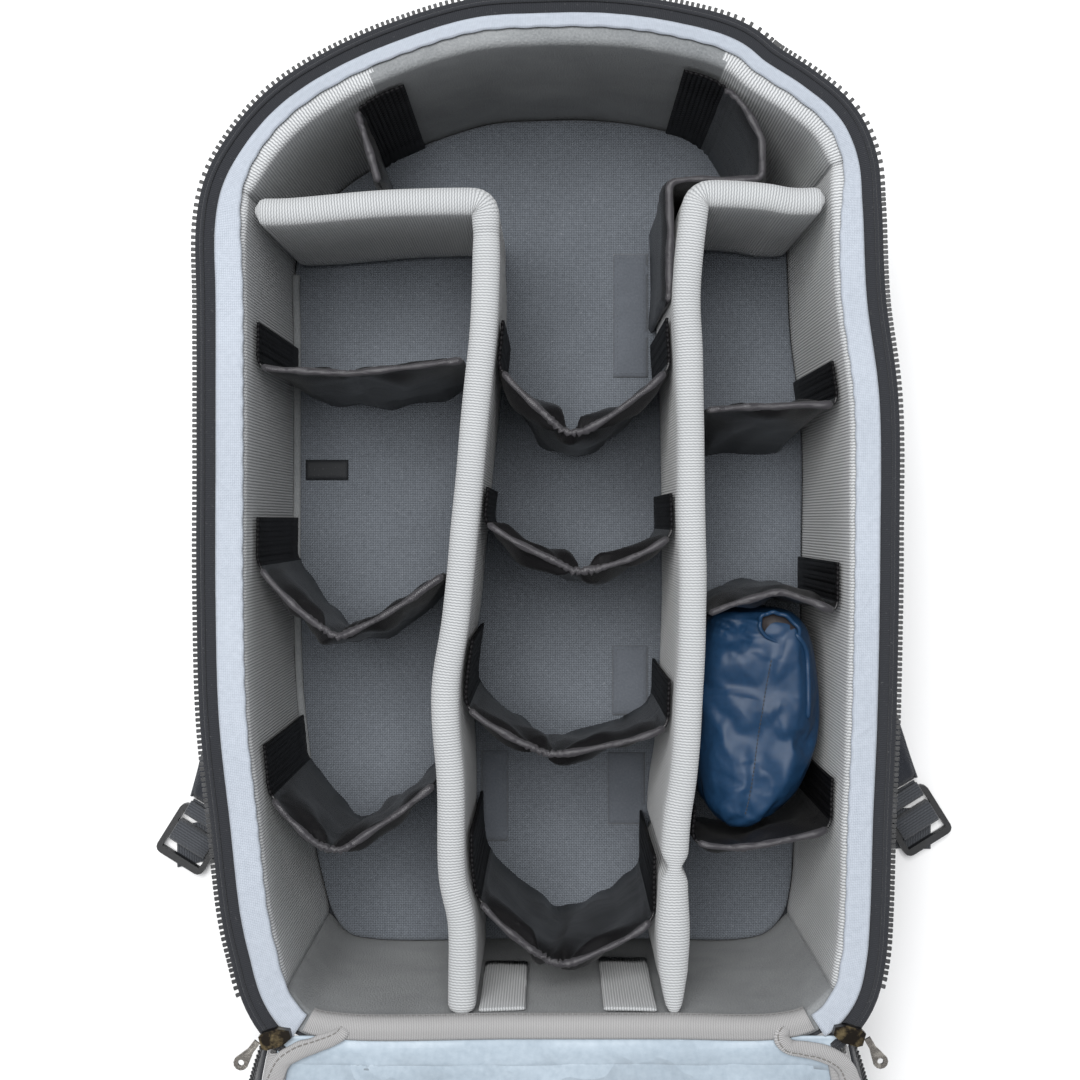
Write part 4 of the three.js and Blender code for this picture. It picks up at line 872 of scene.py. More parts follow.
def toothShape():
    # One zip tooth: a small bar with a rounded, slightly wider head
    clearSelection()
    bpy.ops.mesh.primitive_cube_add(size=1, location=(0, 0, 0), scale=(
        tooth["length"] * 0.001, tooth["width"] * 0.001, tooth["height"] * 0.001))
    bpy.ops.object.transform_apply(location=True, rotation=True, scale=True)
    piece = bpy.context.active_object
    bpy.ops.object.mode_set(mode="EDIT")
    pickFaces(piece, lambda centre, normal: normal.x > 0.9)
    bpy.ops.mesh.inset(thickness=0.0002)
    bpy.ops.transform.translate(value=(0.0005, 0, 0))
    pickFaces(piece, lambda centre, normal: normal.x < -0.9)
    bpy.ops.transform.resize(value=(1, 0.7, 0.6))
    bpy.ops.object.mode_set(mode="OBJECT")
    points = np.array([corner.co for corner in piece.data.vertices]) * 1000
    faces = [tuple(face.vertices) for face in piece.data.polygons]
    bpy.data.objects.remove(piece, do_unlink=True)
    return points, faces


def pickFaces(piece, wanted):
    # In edit mode: selects the faces whose centre and normal are wanted
    mesh = bmesh.from_edit_mesh(piece.data)
    bpy.ops.mesh.select_all(action="DESELECT")
    bpy.ops.mesh.select_mode(type="FACE")
    for face in mesh.faces:
        face.select_set(bool(wanted(face.calc_center_median(), face.normal)))
    bmesh.update_edit_mesh(piece.data)


def teethAlong(name, spots, outward, upward):
    # Copies the tooth to each spot, turned so that its head points outward
    shape, shapeFaces = toothShape()
    points, faces = [], []
    for spot, out, up in zip(spots, outward, upward):
        side = np.cross(up, out)
        base = len(points)
        for x, y, z in shape:
            points.append(spot + out * x + side * y + up * z)
        faces += [tuple(base + i for i in face) for face in shapeFaces]
    mesh = bpy.data.meshes.new(name)
    mesh.from_pydata((np.array(points) * 0.001).tolist(), [], faces)
    piece = bpy.data.objects.new(name, mesh)
    bpy.context.collection.objects.link(piece)
    facesOut(piece)
    bpy.ops.object.shade_smooth_by_angle(angle=math.radians(50))
    return piece


def buildBodyTeeth():
    trim = 20 / outlineLength
    shares = np.arange(zipCorners["left"] + trim, zipCorners["right"] - trim,
                       tooth["pitch"] / (outlineLength * 1.08))
    spots, outward, upward = [], [], []
    for share in shares:
        inner, outer = mouthAt(share, 20), mouthAt(share, 26)
        way = np.array([*(outer - inner), 1.6])
        way /= np.linalg.norm(way)
        x, y = mouthAt(share, 18)
        flat = mouthAt(share, 22.9)
        spots.append(np.array([*flat, levels["tapeBase"] + 1.9 + sag(x, y, 0, 45, 0.5)]))
        outward.append(way)
        side = np.cross([0, 0, 1], way)
        up = np.cross(way, side)
        upward.append(up / np.linalg.norm(up))
    teeth = teethAlong("body_teeth", spots, outward, upward)
    dress(teeth, "teeth", ["body_zip_chain"])


def buildHingeBinding():
    gap = 1.4 / outlineLength
    shares = sharesBetween(zipCorners["right"] + gap, zipCorners["left"] - gap, 1.6)
    path = evenly(smoothThrough([(7.9, 188.3), (7.5, 189.1), (5.6, 189.7), (3.2, 190.2), (1.2, 189.9),
                                 (-0.2, 188.8),
                                 (-1.0, 187.0), (-1.1, 185.2), (-1.0, 183.5)]), 0.25)
    run, ways = lengthsOf(path), headings(path)

    def profileAt(share):
        at = np.linspace(0, run[-1], 22)
        x, y = mouthAt(share, 6)
        upper, lower = [], []
        for k, distance in enumerate(at):
            spot = np.array([np.interp(distance, run, path[:, axis]) for axis in (0, 1)])
            turn = np.array([np.interp(distance, run, ways[:, axis]) for axis in (0, 1)])
            normal = np.array([turn[1], -turn[0]])
            lift = -0.4 * math.exp(-((distance - 2.6) / 0.7) ** 2) + sag(x * 1.6, y, distance, 11, 0.5) - 0.15
            ends = min(1, (distance + 0.05) / 0.8, (run[-1] - distance + 0.05) / 0.8)
            upper.append(spot - normal * lift * ends)
            lower.append(spot + normal * 1.5 * max(ends, 0.15))
        return upper + lower[::-1]

    roll = alongMouth("hinge_roll", shares, profileAt)
    dress(roll, "binding", ["hinge_binding"])


buildFacing()
buildZipTape()
buildBodyTeeth()
buildHingeBinding()
print("mouth edge built")


# Dividers

def crossings(line, axis, value, closed=False):
    line = np.asarray(line)
    after = np.roll(line, -1, axis=0) if closed else line[1:]
    before = line if closed else line[:-1]
    found = []
    for a, b in zip(before, after):
        if (a[axis] - value) * (b[axis] - value) <= 0 and a[axis] != b[axis]:
            found.append(a[1 - axis] + (value - a[axis]) / (b[axis] - a[axis]) * (b[1 - axis] - a[1 - axis]))
    return found


wallCache = {}


def wallAt(side, value, inset):
    key = round(inset, 3)
    if key not in wallCache:
        wallCache[key] = mouthAt(np.arange(240) / 240, -inset)
    axis = 1 if side in ("left", "right") else 0
    found = crossings(wallCache[key], axis, value, True)
    return min(found) if side in ("left", "bottom") else max(found)


def roundedCorners(points, radius, parts=5):
    line = [np.asarray(points[0], float)]
    for i in range(1, len(points) - 1):
        here = np.asarray(points[i], float)
        back, ahead = np.asarray(points[i - 1]) - here, np.asarray(points[i + 1]) - here
        lengths = np.linalg.norm(back), np.linalg.norm(ahead)
        turn = math.pi - math.acos(np.clip(np.dot(back, ahead) / (lengths[0] * lengths[1]), -1, 1))
        if turn < 0.35:
            line.append(here)
            continue
        cut = min(radius * math.tan(turn / 2), lengths[0] / 2.1, lengths[1] / 2.1)
        enter, leave = here + back / lengths[0] * cut, here + ahead / lengths[1] * cut
        for t in np.linspace(0, 1, parts):
            line.append((1 - t) ** 2 * enter + 2 * t * (1 - t) * here + t ** 2 * leave)
    line.append(np.asarray(points[-1], float))
    return np.array(line)


def shifted(line, distance):
    ways = headings(np.asarray(line, float))
    return line + np.stack([-ways[:, 1], ways[:, 0]], axis=1) * distance


stuffedDepths = [0, 0.4, 1.2, 2.4, 4, 6, 8.5, 11.5, 15, 20, 26, 34, 45, 60, 80, 105]


def stuffed(run, total, depth, half):
    # A thin piped edge, a full shoulder under it, and a slimmer foot
    grown = 0.7 + max(half - 0.7, 0) * math.sin(min(1, depth / 15) * math.pi / 2) ** 1.1
    return max(grown * (1 - 0.45 * min(1, max(0, (depth - 24) / 50))), 0.7) if depth else 0.35


def uprightPiece(name, line, halfAt, base, topAt, leanAt=None, moveAt=None, dome=1.0, spacing=2.0, sides=14,
                 sectionAt=None):
    # Upright padded panel on a centre line; the halves, top, lean and moves follow its length
    line = evenly(np.asarray(line, float), spacing)
    run = lengthsOf(line)
    ways = headings(line)
    rows = []
    for i, spot in enumerate(line):
        share = run[i] / run[-1]
        half, top = halfAt(run[i], run[-1]), topAt(run[i], run[-1])
        out = np.array([-ways[i][1], ways[i][0]])
        lean = leanAt(share) if leanAt else 0.0
        ring = []
        levelsUp = np.linspace(0, 1, sides) ** 0.9
        wallTop = top - half * dome
        if sectionAt:
            steps = stuffedDepths + [top - base]
            ring = [(sectionAt(run[i], run[-1], depth, half), top - depth) for depth in steps[::-1]]
            ring += [(-sectionAt(run[i], run[-1], depth, half), top - depth) for depth in steps]
        else:
            ring = [(half * (0.72 if rise == 0 else 1.0),
                     base + (wallTop - base) * rise) for rise in levelsUp]
            ring += [(half * math.cos(a), wallTop + half * dome * math.sin(a)) for a in np.linspace(0,
                                                                                                    math.pi, 9)[1:-1]]
            ring += [(-half * (0.72 if rise == 0 else 1.0),
                      base + (wallTop - base) * rise) for rise in levelsUp[::-1]]
        row = []
        for offset, z in ring:
            rise = (z - base) / (top - base)
            move = moveAt(run[i], run[-1], rise, offset) if moveAt else 0.0
            x, y = spot + out * (offset + move)
            row.append((x, y - lean * (1 - rise), z))
        rows.append(row)
    return sweptPiece(name, rows)


longDividers = {
    "left": {"rows": [
        (-0.845, 0.662), (-0.636, 0.674), (-0.444, 0.682), (-0.196, 0.684), (-0.196, 0.487), (-0.219, 0.312),
        (-0.244, 0.149), (-0.269, -0.017), (-0.292, -0.172), (-0.328, -0.326), (-0.312, -0.524),
        (-0.305, -0.717), (-0.275,
                           -0.814)], "toward": -1, "waist": 0.0, "waistAt": 70, "point": 0.0, "swell": 0.0},
    "right": {"rows": [
        (0.828, 0.684), (0.735, 0.693), (0.51, 0.701), (0.48, 0.534), (0.475, 0.466), (0.483, 0.361),
        (0.49, 0.116), (0.495, -0.172), (0.477, -0.419), (0.464, -0.511), (0.445, -0.594), (0.434, -0.692),
        (0.432, -0.795)], "toward": 1, "waist": 0.5, "waistAt": 71, "point": 0.75, "swell": 0.2},
}
longThickness = 13.5
thinThickness = 4.0
seamGap = 0.3


def longLine(side):
    rows = [placeOf(*row) for row in longDividers[side]["rows"]]
    toward = longDividers[side]["toward"]
    wallX = wallAt(side, rows[0][1], 0) - toward * (seamGap + 2.4)
    lastX = rows[-1][0]
    points = [(wallX, rows[0][1]), *rows, (lastX, wallAt("bottom", lastX, 0) + seamGap + 0.6)]
    return roundedCorners(points, 7)


longLines = {side: longLine(side) for side in longDividers}


def cornerRun(line):
    # Distance along the divider at which it turns its upper corner
    ways = headings(evenly(smoothThrough(line, parts=4), 2.0))
    turning = np.abs(np.diff(np.unwrap(np.arctan2(ways[:, 1], ways[:, 0]))))
    return 2.0 * float(np.average(np.arange(len(turning)), weights=turning ** 2))


def buildLongDividers():
    for side, line in longLines.items():
        corner = cornerRun(line)
        row = longDividers[side]

        def halfAt(run, total, corner=corner, row=row):
            ends = min(1, math.sqrt(max(0.04, 1 - max(0, 1 - min(run, total - run) / 4) ** 2)))
            tuck = 1 - 0.06 * math.exp(-((run - corner) / 6) ** 2)
            left = total - run
            foot = 1 - row["point"] * (1 - min(1, math.sqrt(max(left, 0) / 20)))
            foot *= 1 + row["swell"] * math.exp(-((left - 38) / 16) ** 2)
            waist = row["waist"] * math.exp(-((left - row["waistAt"]) / 4.0) ** 2)
            return (longThickness / 2) * ends * tuck * foot * (1 - waist)

        def topAt(run, total, corner=corner):
            crease = 2.0 * math.exp(-((run - corner) / 2.2) ** 2)
            return levels["dividerTop"] + 0.4 - crease + 0.5 * math.sin(run / 47)

        def moveAt(run, total, rise, offset):
            return sag(run, rise * 143, offset, 30, 0.4)

        piece = uprightPiece("divider_long_" + side, smoothThrough(line, parts=6), halfAt,
                             levels["dividerFoot"] + 0.1,
                             topAt, moveAt=moveAt, dome=0.72, sides=12)
        dress(piece, "dividerLining", ["long_divider_" + side])


def uprightPart(side):
    line = longLines[side]
    for i in range(1, len(line)):
        if abs(line[i][1] - line[i - 1][1]) > abs(line[i][0] - line[i - 1][0]):
            return line[i - 1:]
    return line


def besideLong(side, y, way):
    line = shifted(uprightPart(side), way * (longThickness / 2 + seamGap + thinThickness / 2))
    found = crossings(line, 1, y)
    return max(found) if way > 0 else min(found)


wallInset = seamGap + thinThickness / 2 + 0.2
columns = {
    "left": (lambda y: wallAt("left", y, wallInset), lambda y: besideLong("left", y, -1)),
    "middle": (lambda y: besideLong("left", y, 1), lambda y: besideLong("right", y, -1)),
    "right": (lambda y: besideLong("right", y, 1), lambda y: wallAt("right", y, wallInset)),
}

# Thin dividers: ends, sag and lean as in the part, and how thick the two stuffed halves stand
thinKeys = ("column", "ends", "sag", "sagAt", "lean", "tabs", "fat", "pinch")
thinRows = {
    "left_divider_1": ("left", (0.343, 0.358), 0.019, 0.44, 0.028, (0.096, 0), (6.0, 8.0), 0.2),
    "left_divider_2": ("left", (-0.08, -0.093), 0.134, 0.43, 0.045, (0.11, 0), (10.5, 8.0), 0.75),
    "left_divider_3": ("left", (-0.565, -0.532), 0.117, 0.38, 0.03, (0.117, 0), (9.5, 8.0), 0.75),
    "middle_divider_1": ("middle", (0.333, 0.333), 0.129, 0.44, 0.023, (0.11, 0.115), (10.0, 8.5), 1.0),
    "middle_divider_2": ("middle", (0.013, -0.016), 0.083, 0.52, 0.03, (0.08, 0.096), (12.0, 8.0), 1.0),
    "middle_divider_3": ("middle", (-0.377, -0.415), 0.074, 0.41, 0.04, (0.15, 0.103), (10.5, 8.5), 0.8),
    "middle_divider_4": ("middle", (-0.783, -0.82), 0.108, 0.46, 0.02, (0.15, 0.14), (8.0, 8.5), 0.9),
    "right_divider_1": ("right", (0.254, 0.264), -0.003, 0.47, 0.07, (0, 0.094), (6.5, 7.0), 0.1),
    "right_divider_2": ("right", (-0.172, -0.169), -0.044, 0.55, 0, (0, 0.104), (8.0, 8.0), 0.1),
    "right_divider_3": ("right", (-0.653, -0.626), 0.018, 0.35, 0.045, (0.071, 0.108), (8.0, 8.0), 0.2),
}
thinDividers = {name: dict(zip(thinKeys, row)) for name, row in thinRows.items()}


def thinLine(row):
    startAt, endAt = columns[row["column"]]
    startY, endY = (share * mouth["halfLength"] + mouth["centre"] for share in row["ends"])
    drop = row["sag"] * mouth["halfLength"]
    startX, endX = startAt(startY), endAt(endY)
    bend, steps = 5, 12
    startTab, endTab = (share * mouth["halfLength"] for share in row["tabs"])
    points, leans = [], []
    if startTab:
        points += [(startAt(startY + up), startY + up) for up in (startTab, (startTab + bend) / 2, bend)]
        leans += [0, 0, 0]
    fromX = startX + (bend * 0.3 if startTab else 0)
    toX = endX - (bend * 0.3 if endTab else 0)
    for step in range(steps + 1):
        share = step / steps
        phase = share / row["sagAt"] if share < row["sagAt"] else (1 - share) / (1 - row["sagAt"])
        dip = 1 - (1 - phase) ** 1.3
        corner = min(share, 1 - share) * steps
        openEnd = not startTab if share < 0.5 else not endTab
        rise = 1.2 if corner < 1 and not openEnd else 0
        reach = 0.3 * (-1 if share < 0.5 else 1) if openEnd and corner < 1 else 0
        points.append((fromX + (toX - fromX) * share + reach,
                       startY + (endY - startY) * share - drop * dip + rise))
        leans.append(row["lean"] * mouth["halfLength"] * min(1, corner / 2))
    if endTab:
        points += [(endAt(endY + up), endY + up) for up in (bend, (endTab + bend) / 2, endTab)]
        leans += [0, 0, 0]
    return np.array(points), np.array(leans), startTab, endTab


def stretchAt(run, total, startTab, endTab):
    # Place between the folded ends, from 0 to 1
    return (run - startTab) / max(total - startTab - endTab, 1)


def buildThinDividers():
    for number, (name, row) in enumerate(thinDividers.items()):
        points, leans, startTab, endTab = thinLine(row)
        smooth = smoothThrough(points, parts=5)
        leanRun = lengthsOf(points) / lengthsOf(points)[-1]

        def halfAt(run, total, row=row, startTab=startTab, endTab=endTab):
            inner = stretchAt(run, total, startTab, endTab)
            ends = math.sqrt(max(0.05, 1 - max(0, 1 - min(run, total - run) / 2.2) ** 2))
            if inner < 0 or inner > 1:
                return 0.9 * ends
            left = inner < row["sagAt"]
            part = inner / row["sagAt"] if left else (1 - inner) / (1 - row["sagAt"])
            full = row["fat"][0 if left else 1] / 2
            swell = math.sin(math.pi * min(part * 0.62 + 0.06, 1)) ** 0.7
            pinch = 1 - row["pinch"] * 0.5 * math.exp(-((part - 1) / 0.16) ** 2)
            grip = min(1, 0.35 + part * 5)
            return max(full * swell * pinch * grip, 1.1) * ends

        def topAt(run, total, row=row, startTab=startTab, endTab=endTab):
            inner = stretchAt(run, total, startTab, endTab)
            edge = levels["thinTop"] - 0.3
            if inner < 0 or inner > 1:
                return edge - 3
            dip = 1.8 * row["pinch"] * math.exp(-((inner - row["sagAt"]) / 0.09) ** 2)
            return edge - dip - 2.5 * math.exp(-min(inner, 1 - inner) / 0.04)

        def moveAt(run, total, rise, offset, row=row, startTab=startTab, endTab=endTab, number=number):
            inner = stretchAt(run, total, startTab, endTab)
            if inner < 0 or inner > 1:
                return 0.5 * math.sin(run * 1.1 + number) * min(1, max(0, (1 - rise) * 40 - 0.5), rise * 8)
            # Folds run out from the low point of the V, with small gathers beside it
            aside, depth = run - startTab - row["sagAt"] * (total - startTab - endTab), (1 - rise) * 131
            away = math.hypot(aside, depth + 3)
            fan = math.sin(5.5 * math.atan2(depth + 3, aside) + number) * math.exp(-away / 55) * row["pinch"]
            gather = 0.8 * math.exp(-(away / 9) ** 2) * math.sin(run * 2.1 + number) * row["pinch"]
            loose = sag(run * 1.3, rise * 75 + number * 57, offset, 21,
                        4.6) * (1 - math.exp(-min(inner, 1 - inner) / 0.1))
            return gather + (4.0 * fan + loose) * min(1, depth / 8 + 0.12)

        piece = uprightPiece(name + "_cloth", smooth, halfAt, levels["dividerFoot"] + 0.1, topAt,
                             lambda share, leans=leans, at=leanRun: float(np.interp(share, at, leans)),
                             moveAt, spacing=1.3, sectionAt=stuffed)
        dress(piece, "divider", [name])
        markTabs(piece, startTab, endTab)
        buildHem(name + "_hem", piece, startTab, endTab, row["sagAt"], row["pinch"])


def markTabs(piece, startTab, endTab):
    # The folded ends are a dull pleated cloth
    mesh = piece.data
    mesh.materials.append(finishes["tab"])
    cloth = mesh.uv_layers["cloth"].data
    last = max(corner.uv.x for corner in cloth) * 1000
    for face in mesh.polygons:
        along = cloth[face.loop_start].uv.x * 1000
        face.material_index = int(not startTab - 1 < along < last - endTab + 1)


def buildHem(name, piece, startTab, endTab, lowAt, pinch):
    # Rolled hem along the top edge, gathered at the low point of the V; its finish is the divider's dark satin
    # painted lighter grey, a painted sheen on the upward-facing roll
    around = 2 * (len(stuffedDepths) + 1)
    points = np.array([corner.co for corner in piece.data.vertices]) * 1000
    count = (len(points) - 2) // around
    middle = around // 2
    edge = np.array([(points[i * around + middle - 1] + points[i * around + middle])
                     / 2 for i in range(count)])
    run = lengthsOf(edge)
    line = edge[(run > startTab - 1) & (run < run[-1] - endTab + 1)]
    run = lengthsOf(line)
    rows = []
    for i, (spot, way) in enumerate(zip(line, headings(line))):
        across = np.cross(way, (0, 0, 1))
        across /= np.linalg.norm(across)
        up = np.cross(across, way)
        near = pinch * math.exp(-((run[i] / run[-1] - lowAt) / 0.13) ** 2)
        ends = math.sqrt(max(0.06, 1 - max(0, 1 - min(run[i], run[-1] - run[i]) / 2) ** 2))
        fat = 1.8 * ends * (1 + 0.34 * near * math.sin(run[i] * 1.7) + sag(run[i], 0, 7, 11, 0.4))
        rows.append([spot + (across * ca + up * sa * 0.9) * fat - up * 0.2 for ca, sa in circle(12)])
    hem = sweptPiece(name, rows)
    dress(hem, "hem")


def armFace(side, x):
    arm = shifted(longLines[side], (1 if side == "left" else -1) * longThickness / 2)
    return max(crossings(arm, 0, x)) + seamGap + thinThickness / 2 + 0.2


def acrossBy(share):
    return share * mouth["halfWidth"]


def levelOf(along):
    return placeOf(0, along)[1]


def topDividerLines():
    left = [(acrossBy(share), wallAt("top", acrossBy(share), wallInset)) for share in (-0.47, -0.55)]
    left += [(acrossBy(-0.63), wallAt("top", acrossBy(-0.63), wallInset) - 1),
             (acrossBy(-0.6), levelOf(0.82)),
             (acrossBy(-0.555), armFace("left", acrossBy(-0.545)) + 3)]

    def beside(share):
        return besideLong("right", levelOf(share), -1), levelOf(share)

    right = [(acrossBy(share), wallAt("top", acrossBy(share), wallInset) - (0.5 if share > 0.6 else 0))
             for share in (0.47, 0.55, 0.625)]
    right += [(acrossBy(0.685), levelOf(0.875)), (acrossBy(0.73), levelOf(0.82)),
              (acrossBy(0.74), armFace("right", acrossBy(0.74)) + 0.6), (acrossBy(0.6),
                                                                         armFace("right", acrossBy(0.6))),
              (acrossBy(0.53), armFace("right", acrossBy(0.53))),
              (beside(0.6)[0] - 1.5, armFace("right", acrossBy(0.5)) + 0.4),
              (beside(0.6)[0] - 0.6, beside(0.6)[1]), beside(0.48)]
    return {"top_divider_left": roundedCorners(left, 5), "top_divider_right": roundedCorners(right, 5)}


def buildTopDividers():
    for number, (name, line) in enumerate(topDividerLines().items()):
        fold = 26 if number == 0 else 24

        def halfAt(run, total, fold=fold):
            ends = math.sqrt(max(0.05, 1 - max(0, 1 - min(run, total - run) / 2.2) ** 2))
            full = 1 / (1 + math.exp(-(run - fold - 6) / 2.5))
            return (1.0 + 2.4 * full) * ends

        def topAt(run, total, fold=fold):
            return levels["thinTop"] - 0.5 - 2 * math.exp(-((run - fold) / 4) ** 2)

        def moveAt(run, total, rise, offset, number=number, fold=fold):
            crease = 0.6 * math.exp(-((run - fold) / 8) ** 2) * math.sin(run * 1.4 + rise * 3)
            return crease + sag(run, rise * 130 + number * 31, offset, 20, 0.9)

        piece = uprightPiece(name + "_cloth", smoothThrough(line, parts=5), halfAt,
                             levels["dividerFoot"] + 0.1, topAt,
                             moveAt=moveAt, spacing=1.4, sectionAt=stuffed)
        dress(piece, "divider", [name])
        markTabs(piece, fold, 0)
        buildHem(name + "_hem", piece, fold, 0, 0.5, 0.0)


buildLongDividers()
buildThinDividers()
buildTopDividers()
print("dividers built")


# Floor patches, tabs and label

patches = {
    "divider_foot_upper": {"across": (0.265, 0.4), "along": (0.37, 0.67), "finish": "foot"},
    "divider_foot_middle": {"across": (0.262, 0.4), "along": (-0.45, -0.28), "finish": "foot"},
    "divider_foot_lower": {"across": (0.244, 0.39), "along": (-0.715, -0.54), "finish": "foot"},
    "divider_foot_left": {"across": (-0.25, -0.146), "along": (-0.755, -0.535), "finish": "foot"},
    "sewn_label": {"across": (-0.936, -0.77), "along": (0.121, 0.17), "finish": "label"},
}


def buildPatches():
    # A flat piece of cloth with rolled edges and a sewn rectangle a little inside them
    for name, row in patches.items():
        low, high = placeOf(row["across"][0], row["along"][0]), placeOf(row["across"][1], row["along"][1])
        base = levels["dividerFoot"] + 0.05
        size = high - low
        count = [max(int(length / 1.5), 6) for length in size]
        rows = []
        for u in np.linspace(0, 1, count[0] + 1):
            over, under = [], []
            for v in np.linspace(0, 1, count[1] + 1):
                x, y = low + size * (u, v)
                inset = min(u * size[0], (1 - u) * size[0], v * size[1], (1 - v) * size[1])
                sewn = 0.3 * math.exp(-((inset - 2.4) / 0.7) ** 2)
                rise = 1.35 * math.sqrt(max(0, 1 - max(0, 1 - inset / 1.2) ** 2)) - sewn + sag(x, y, 0, 9,
                                                                                               0.25)
                over.append((x, y, base + 0.15 + max(rise, 0.05)))
                under.append((x, y, base))
            rows.append(over + under[::-1])
        piece = sweptPiece(name + "_cloth", rows)
        planarCloth(piece)
        dress(piece, row["finish"], [name])
        if name != "sewn_label":
            buildThread(name, low, high, base + 1.42)


def buildThread(name, low, high, level):
    # Real stitches round the patch, each a short flat loop of thread
    inset = 2.4
    corners = [(low[0] + inset, low[1] + inset), (high[0] - inset, low[1] + inset),
               (high[0] - inset, high[1] - inset), (low[0] + inset, high[1] - inset)]
    line = evenly(np.array(corners + corners[:1]), 0.5)
    stitchesAlong(name + "_thread", [(x, y, level) for x, y in line], 3.0, "foot", thick=0.3)


def stitchesAlong(name, line, pitch, finish, thick=0.34, up=(0, 0, 1)):
    line = np.asarray(line, float)
    run = lengthsOf(line)
    up = np.asarray(up, float)
    points, faces, uvs = [], [], []
    ring = circle(5)
    for start in np.arange(pitch * 0.3, run[-1] - pitch, pitch):
        base = len(points)
        at = start + pitch * np.array([0.04, 0.14, 0.4, 0.66, 0.76])
        spots = np.stack([np.interp(at, run, line[:, axis]) for axis in range(3)], axis=1)
        way = spots[-1] - spots[0]
        way /= max(np.linalg.norm(way), 1e-6)
        side = np.cross(way, up)
        for spot, wide, lift in zip(spots, (0.35, 0.85, 1, 0.85, 0.35), (-0.3, 0, 0.08, 0, -0.3)):
            points += [spot + side * thick * wide * a + up * (thick * 0.8 * wide * b + lift) for a, b in ring]
        for i in range(4):
            for j in range(5):
                k = (j + 1) % 5
                faces.append((base + i * 5 + j, base + (i + 1) * 5 + j, base + (i + 1) * 5 + k,
                              base + i * 5 + k))
                uvs += [(i * 0.5, j * 0.3), (i * 0.5 + 0.5, j * 0.3), (i * 0.5 + 0.5, j * 0.3 + 0.3),
                        (i * 0.5, j * 0.3 + 0.3)]
        for first, order in ((base, (4, 3, 2, 1, 0)), (base + 20, (0, 1, 2, 3, 4))):
            faces.append(tuple(first + j for j in order))
            uvs += [(0, 0), (0.3, 0), (0.4, 0.2), (0.2, 0.4), (0, 0.2)]
    piece = newPiece(name, points, faces, uvs)
    facesOut(piece)
    dress(piece, finish)
    return piece


endTabs = {
    "end_tab_left": {"side": "left", "way": 1, "reach": 0.15, "top": 0.96, "base": 0.35},
    "end_tab_right": {"side": "right", "way": -1, "reach": 0.17, "top": 0.97, "base": 0.3},
}


def buildEndTabs():
    for name, row in endTabs.items():
        root = besideLong(row["side"], levelOf(-0.97), row["way"])
        line = np.array([(root + row["way"] * share * acrossBy(row["reach"]),
                          0) for share in np.linspace(-0.04, 1, 9)])
        for spot in line:
            spot[1] = wallAt("bottom", spot[0], seamGap + 1.4)
        span = levels["dividerTop"] - levels["dividerFoot"]
        base, top = levels["dividerFoot"] + row["base"] * span, levels["dividerFoot"] + row["top"] * span
        piece = uprightPiece(name + "_cloth", line, lambda run, total: 1.0 * math.sqrt(max(
            0.08, 1 - max(0,
                          1 - min(run,
                                  total - run) / 1.2) ** 2)), base, lambda run, total, top=top: top - 0.1 * run,
            moveAt=lambda run, total, rise, offset: sag(run, rise * 90, 0, 14, 0.35), spacing=1.2, sides=10)
        dress(piece, "dividerLining", [name])


buildPatches()
buildEndTabs()
print("patches and tabs built")


# Rain cover in its pouch

pouch = {
    "height": 122,
    "sections": [   # along, left, right, low and high, from the open end to the gathered end
        (-0.18, 0.6, 0.86, 0.6, 0.9), (-0.2, 0.575, 0.9, 0.4, 0.97), (-0.235, 0.555, 0.93, 0.1, 1.0),
        (-0.3, 0.548, 0.945, 0.0, 1.0), (-0.4, 0.548, 0.945, 0.0, 1.0), (-0.47, 0.55, 0.935, 0.0, 1.0),
        (-0.54, 0.555, 0.9, 0.05, 1.0), (-0.59, 0.565, 0.83, 0.32, 0.99), (-0.618, 0.6, 0.77, 0.6, 0.97),
        (-0.634, 0.635, 0.72, 0.76, 0.92)],
    "tucked": 1.0,       # how far the filling stands inside the finished cloth
    "grain": 3.0,        # mesh size that the cloth settles on
    "seam": [(0.775, -0.27), (0.75, -0.36), (0.725, -0.46), (0.7, -0.56), (0.685, -0.61)],
    "looser": 0.06,      # how much more cloth there is than filling
    "pressure": 2.5,
    "reach": 6.0,        # farthest that the cloth may settle
    "hem": {"centre": (0.8, -0.205), "level": 0.985, "wide": 10.6, "deep": 6.8, "fat": 1.2, "turn": -0.5},
}


def pouchFilling():
    base = levels["dividerFoot"] + 0.4
    table = [(levelOf(along), acrossBy(left), acrossBy(right), base + low * pouch["height"],
              base + high * pouch["height"]) for along, left, right, low, high in pouch["sections"]]
    rows = []
    for y, left, right, low, high in smoothThrough(table, parts=6):
        row = []
        for pair in circle(64):
            sx, sz = (math.copysign(abs(value) ** 0.56, value) for value in pair)
            tuck = pouch["tucked"]
            px = (left + right) / 2 + max((right - left) / 2 - tuck, 2) * sx
            pz = (low + high) / 2 + max((high - low) / 2 - tuck, 2) * sz
            row.append((px, y, pz + sag(px, y, pz, 24, 2.5)))
        rows.append(row)
    return sweptPiece("rain_cover_bag", rows)


def seamAway(spot):
    # Distance of a place from the seam along the top, in mm
    line = [placeOf(*row) for row in pouch["seam"]]
    best = 1e9
    for a, b in zip(line[:-1], line[1:]):
        t = min(1, max(0, np.dot(spot[:2] - a, b - a) / np.dot(b - a, b - a)))
        best = min(best, np.linalg.norm(spot[:2] - a - (b - a) * t))
    return best


def applied(piece, kind, **settings):
    pickPiece(piece)
    change = piece.modifiers.new(kind.title(), kind)
    for label, value in settings.items():
        setattr(change, label, value)
    bpy.ops.object.modifier_apply(modifier=change.name)


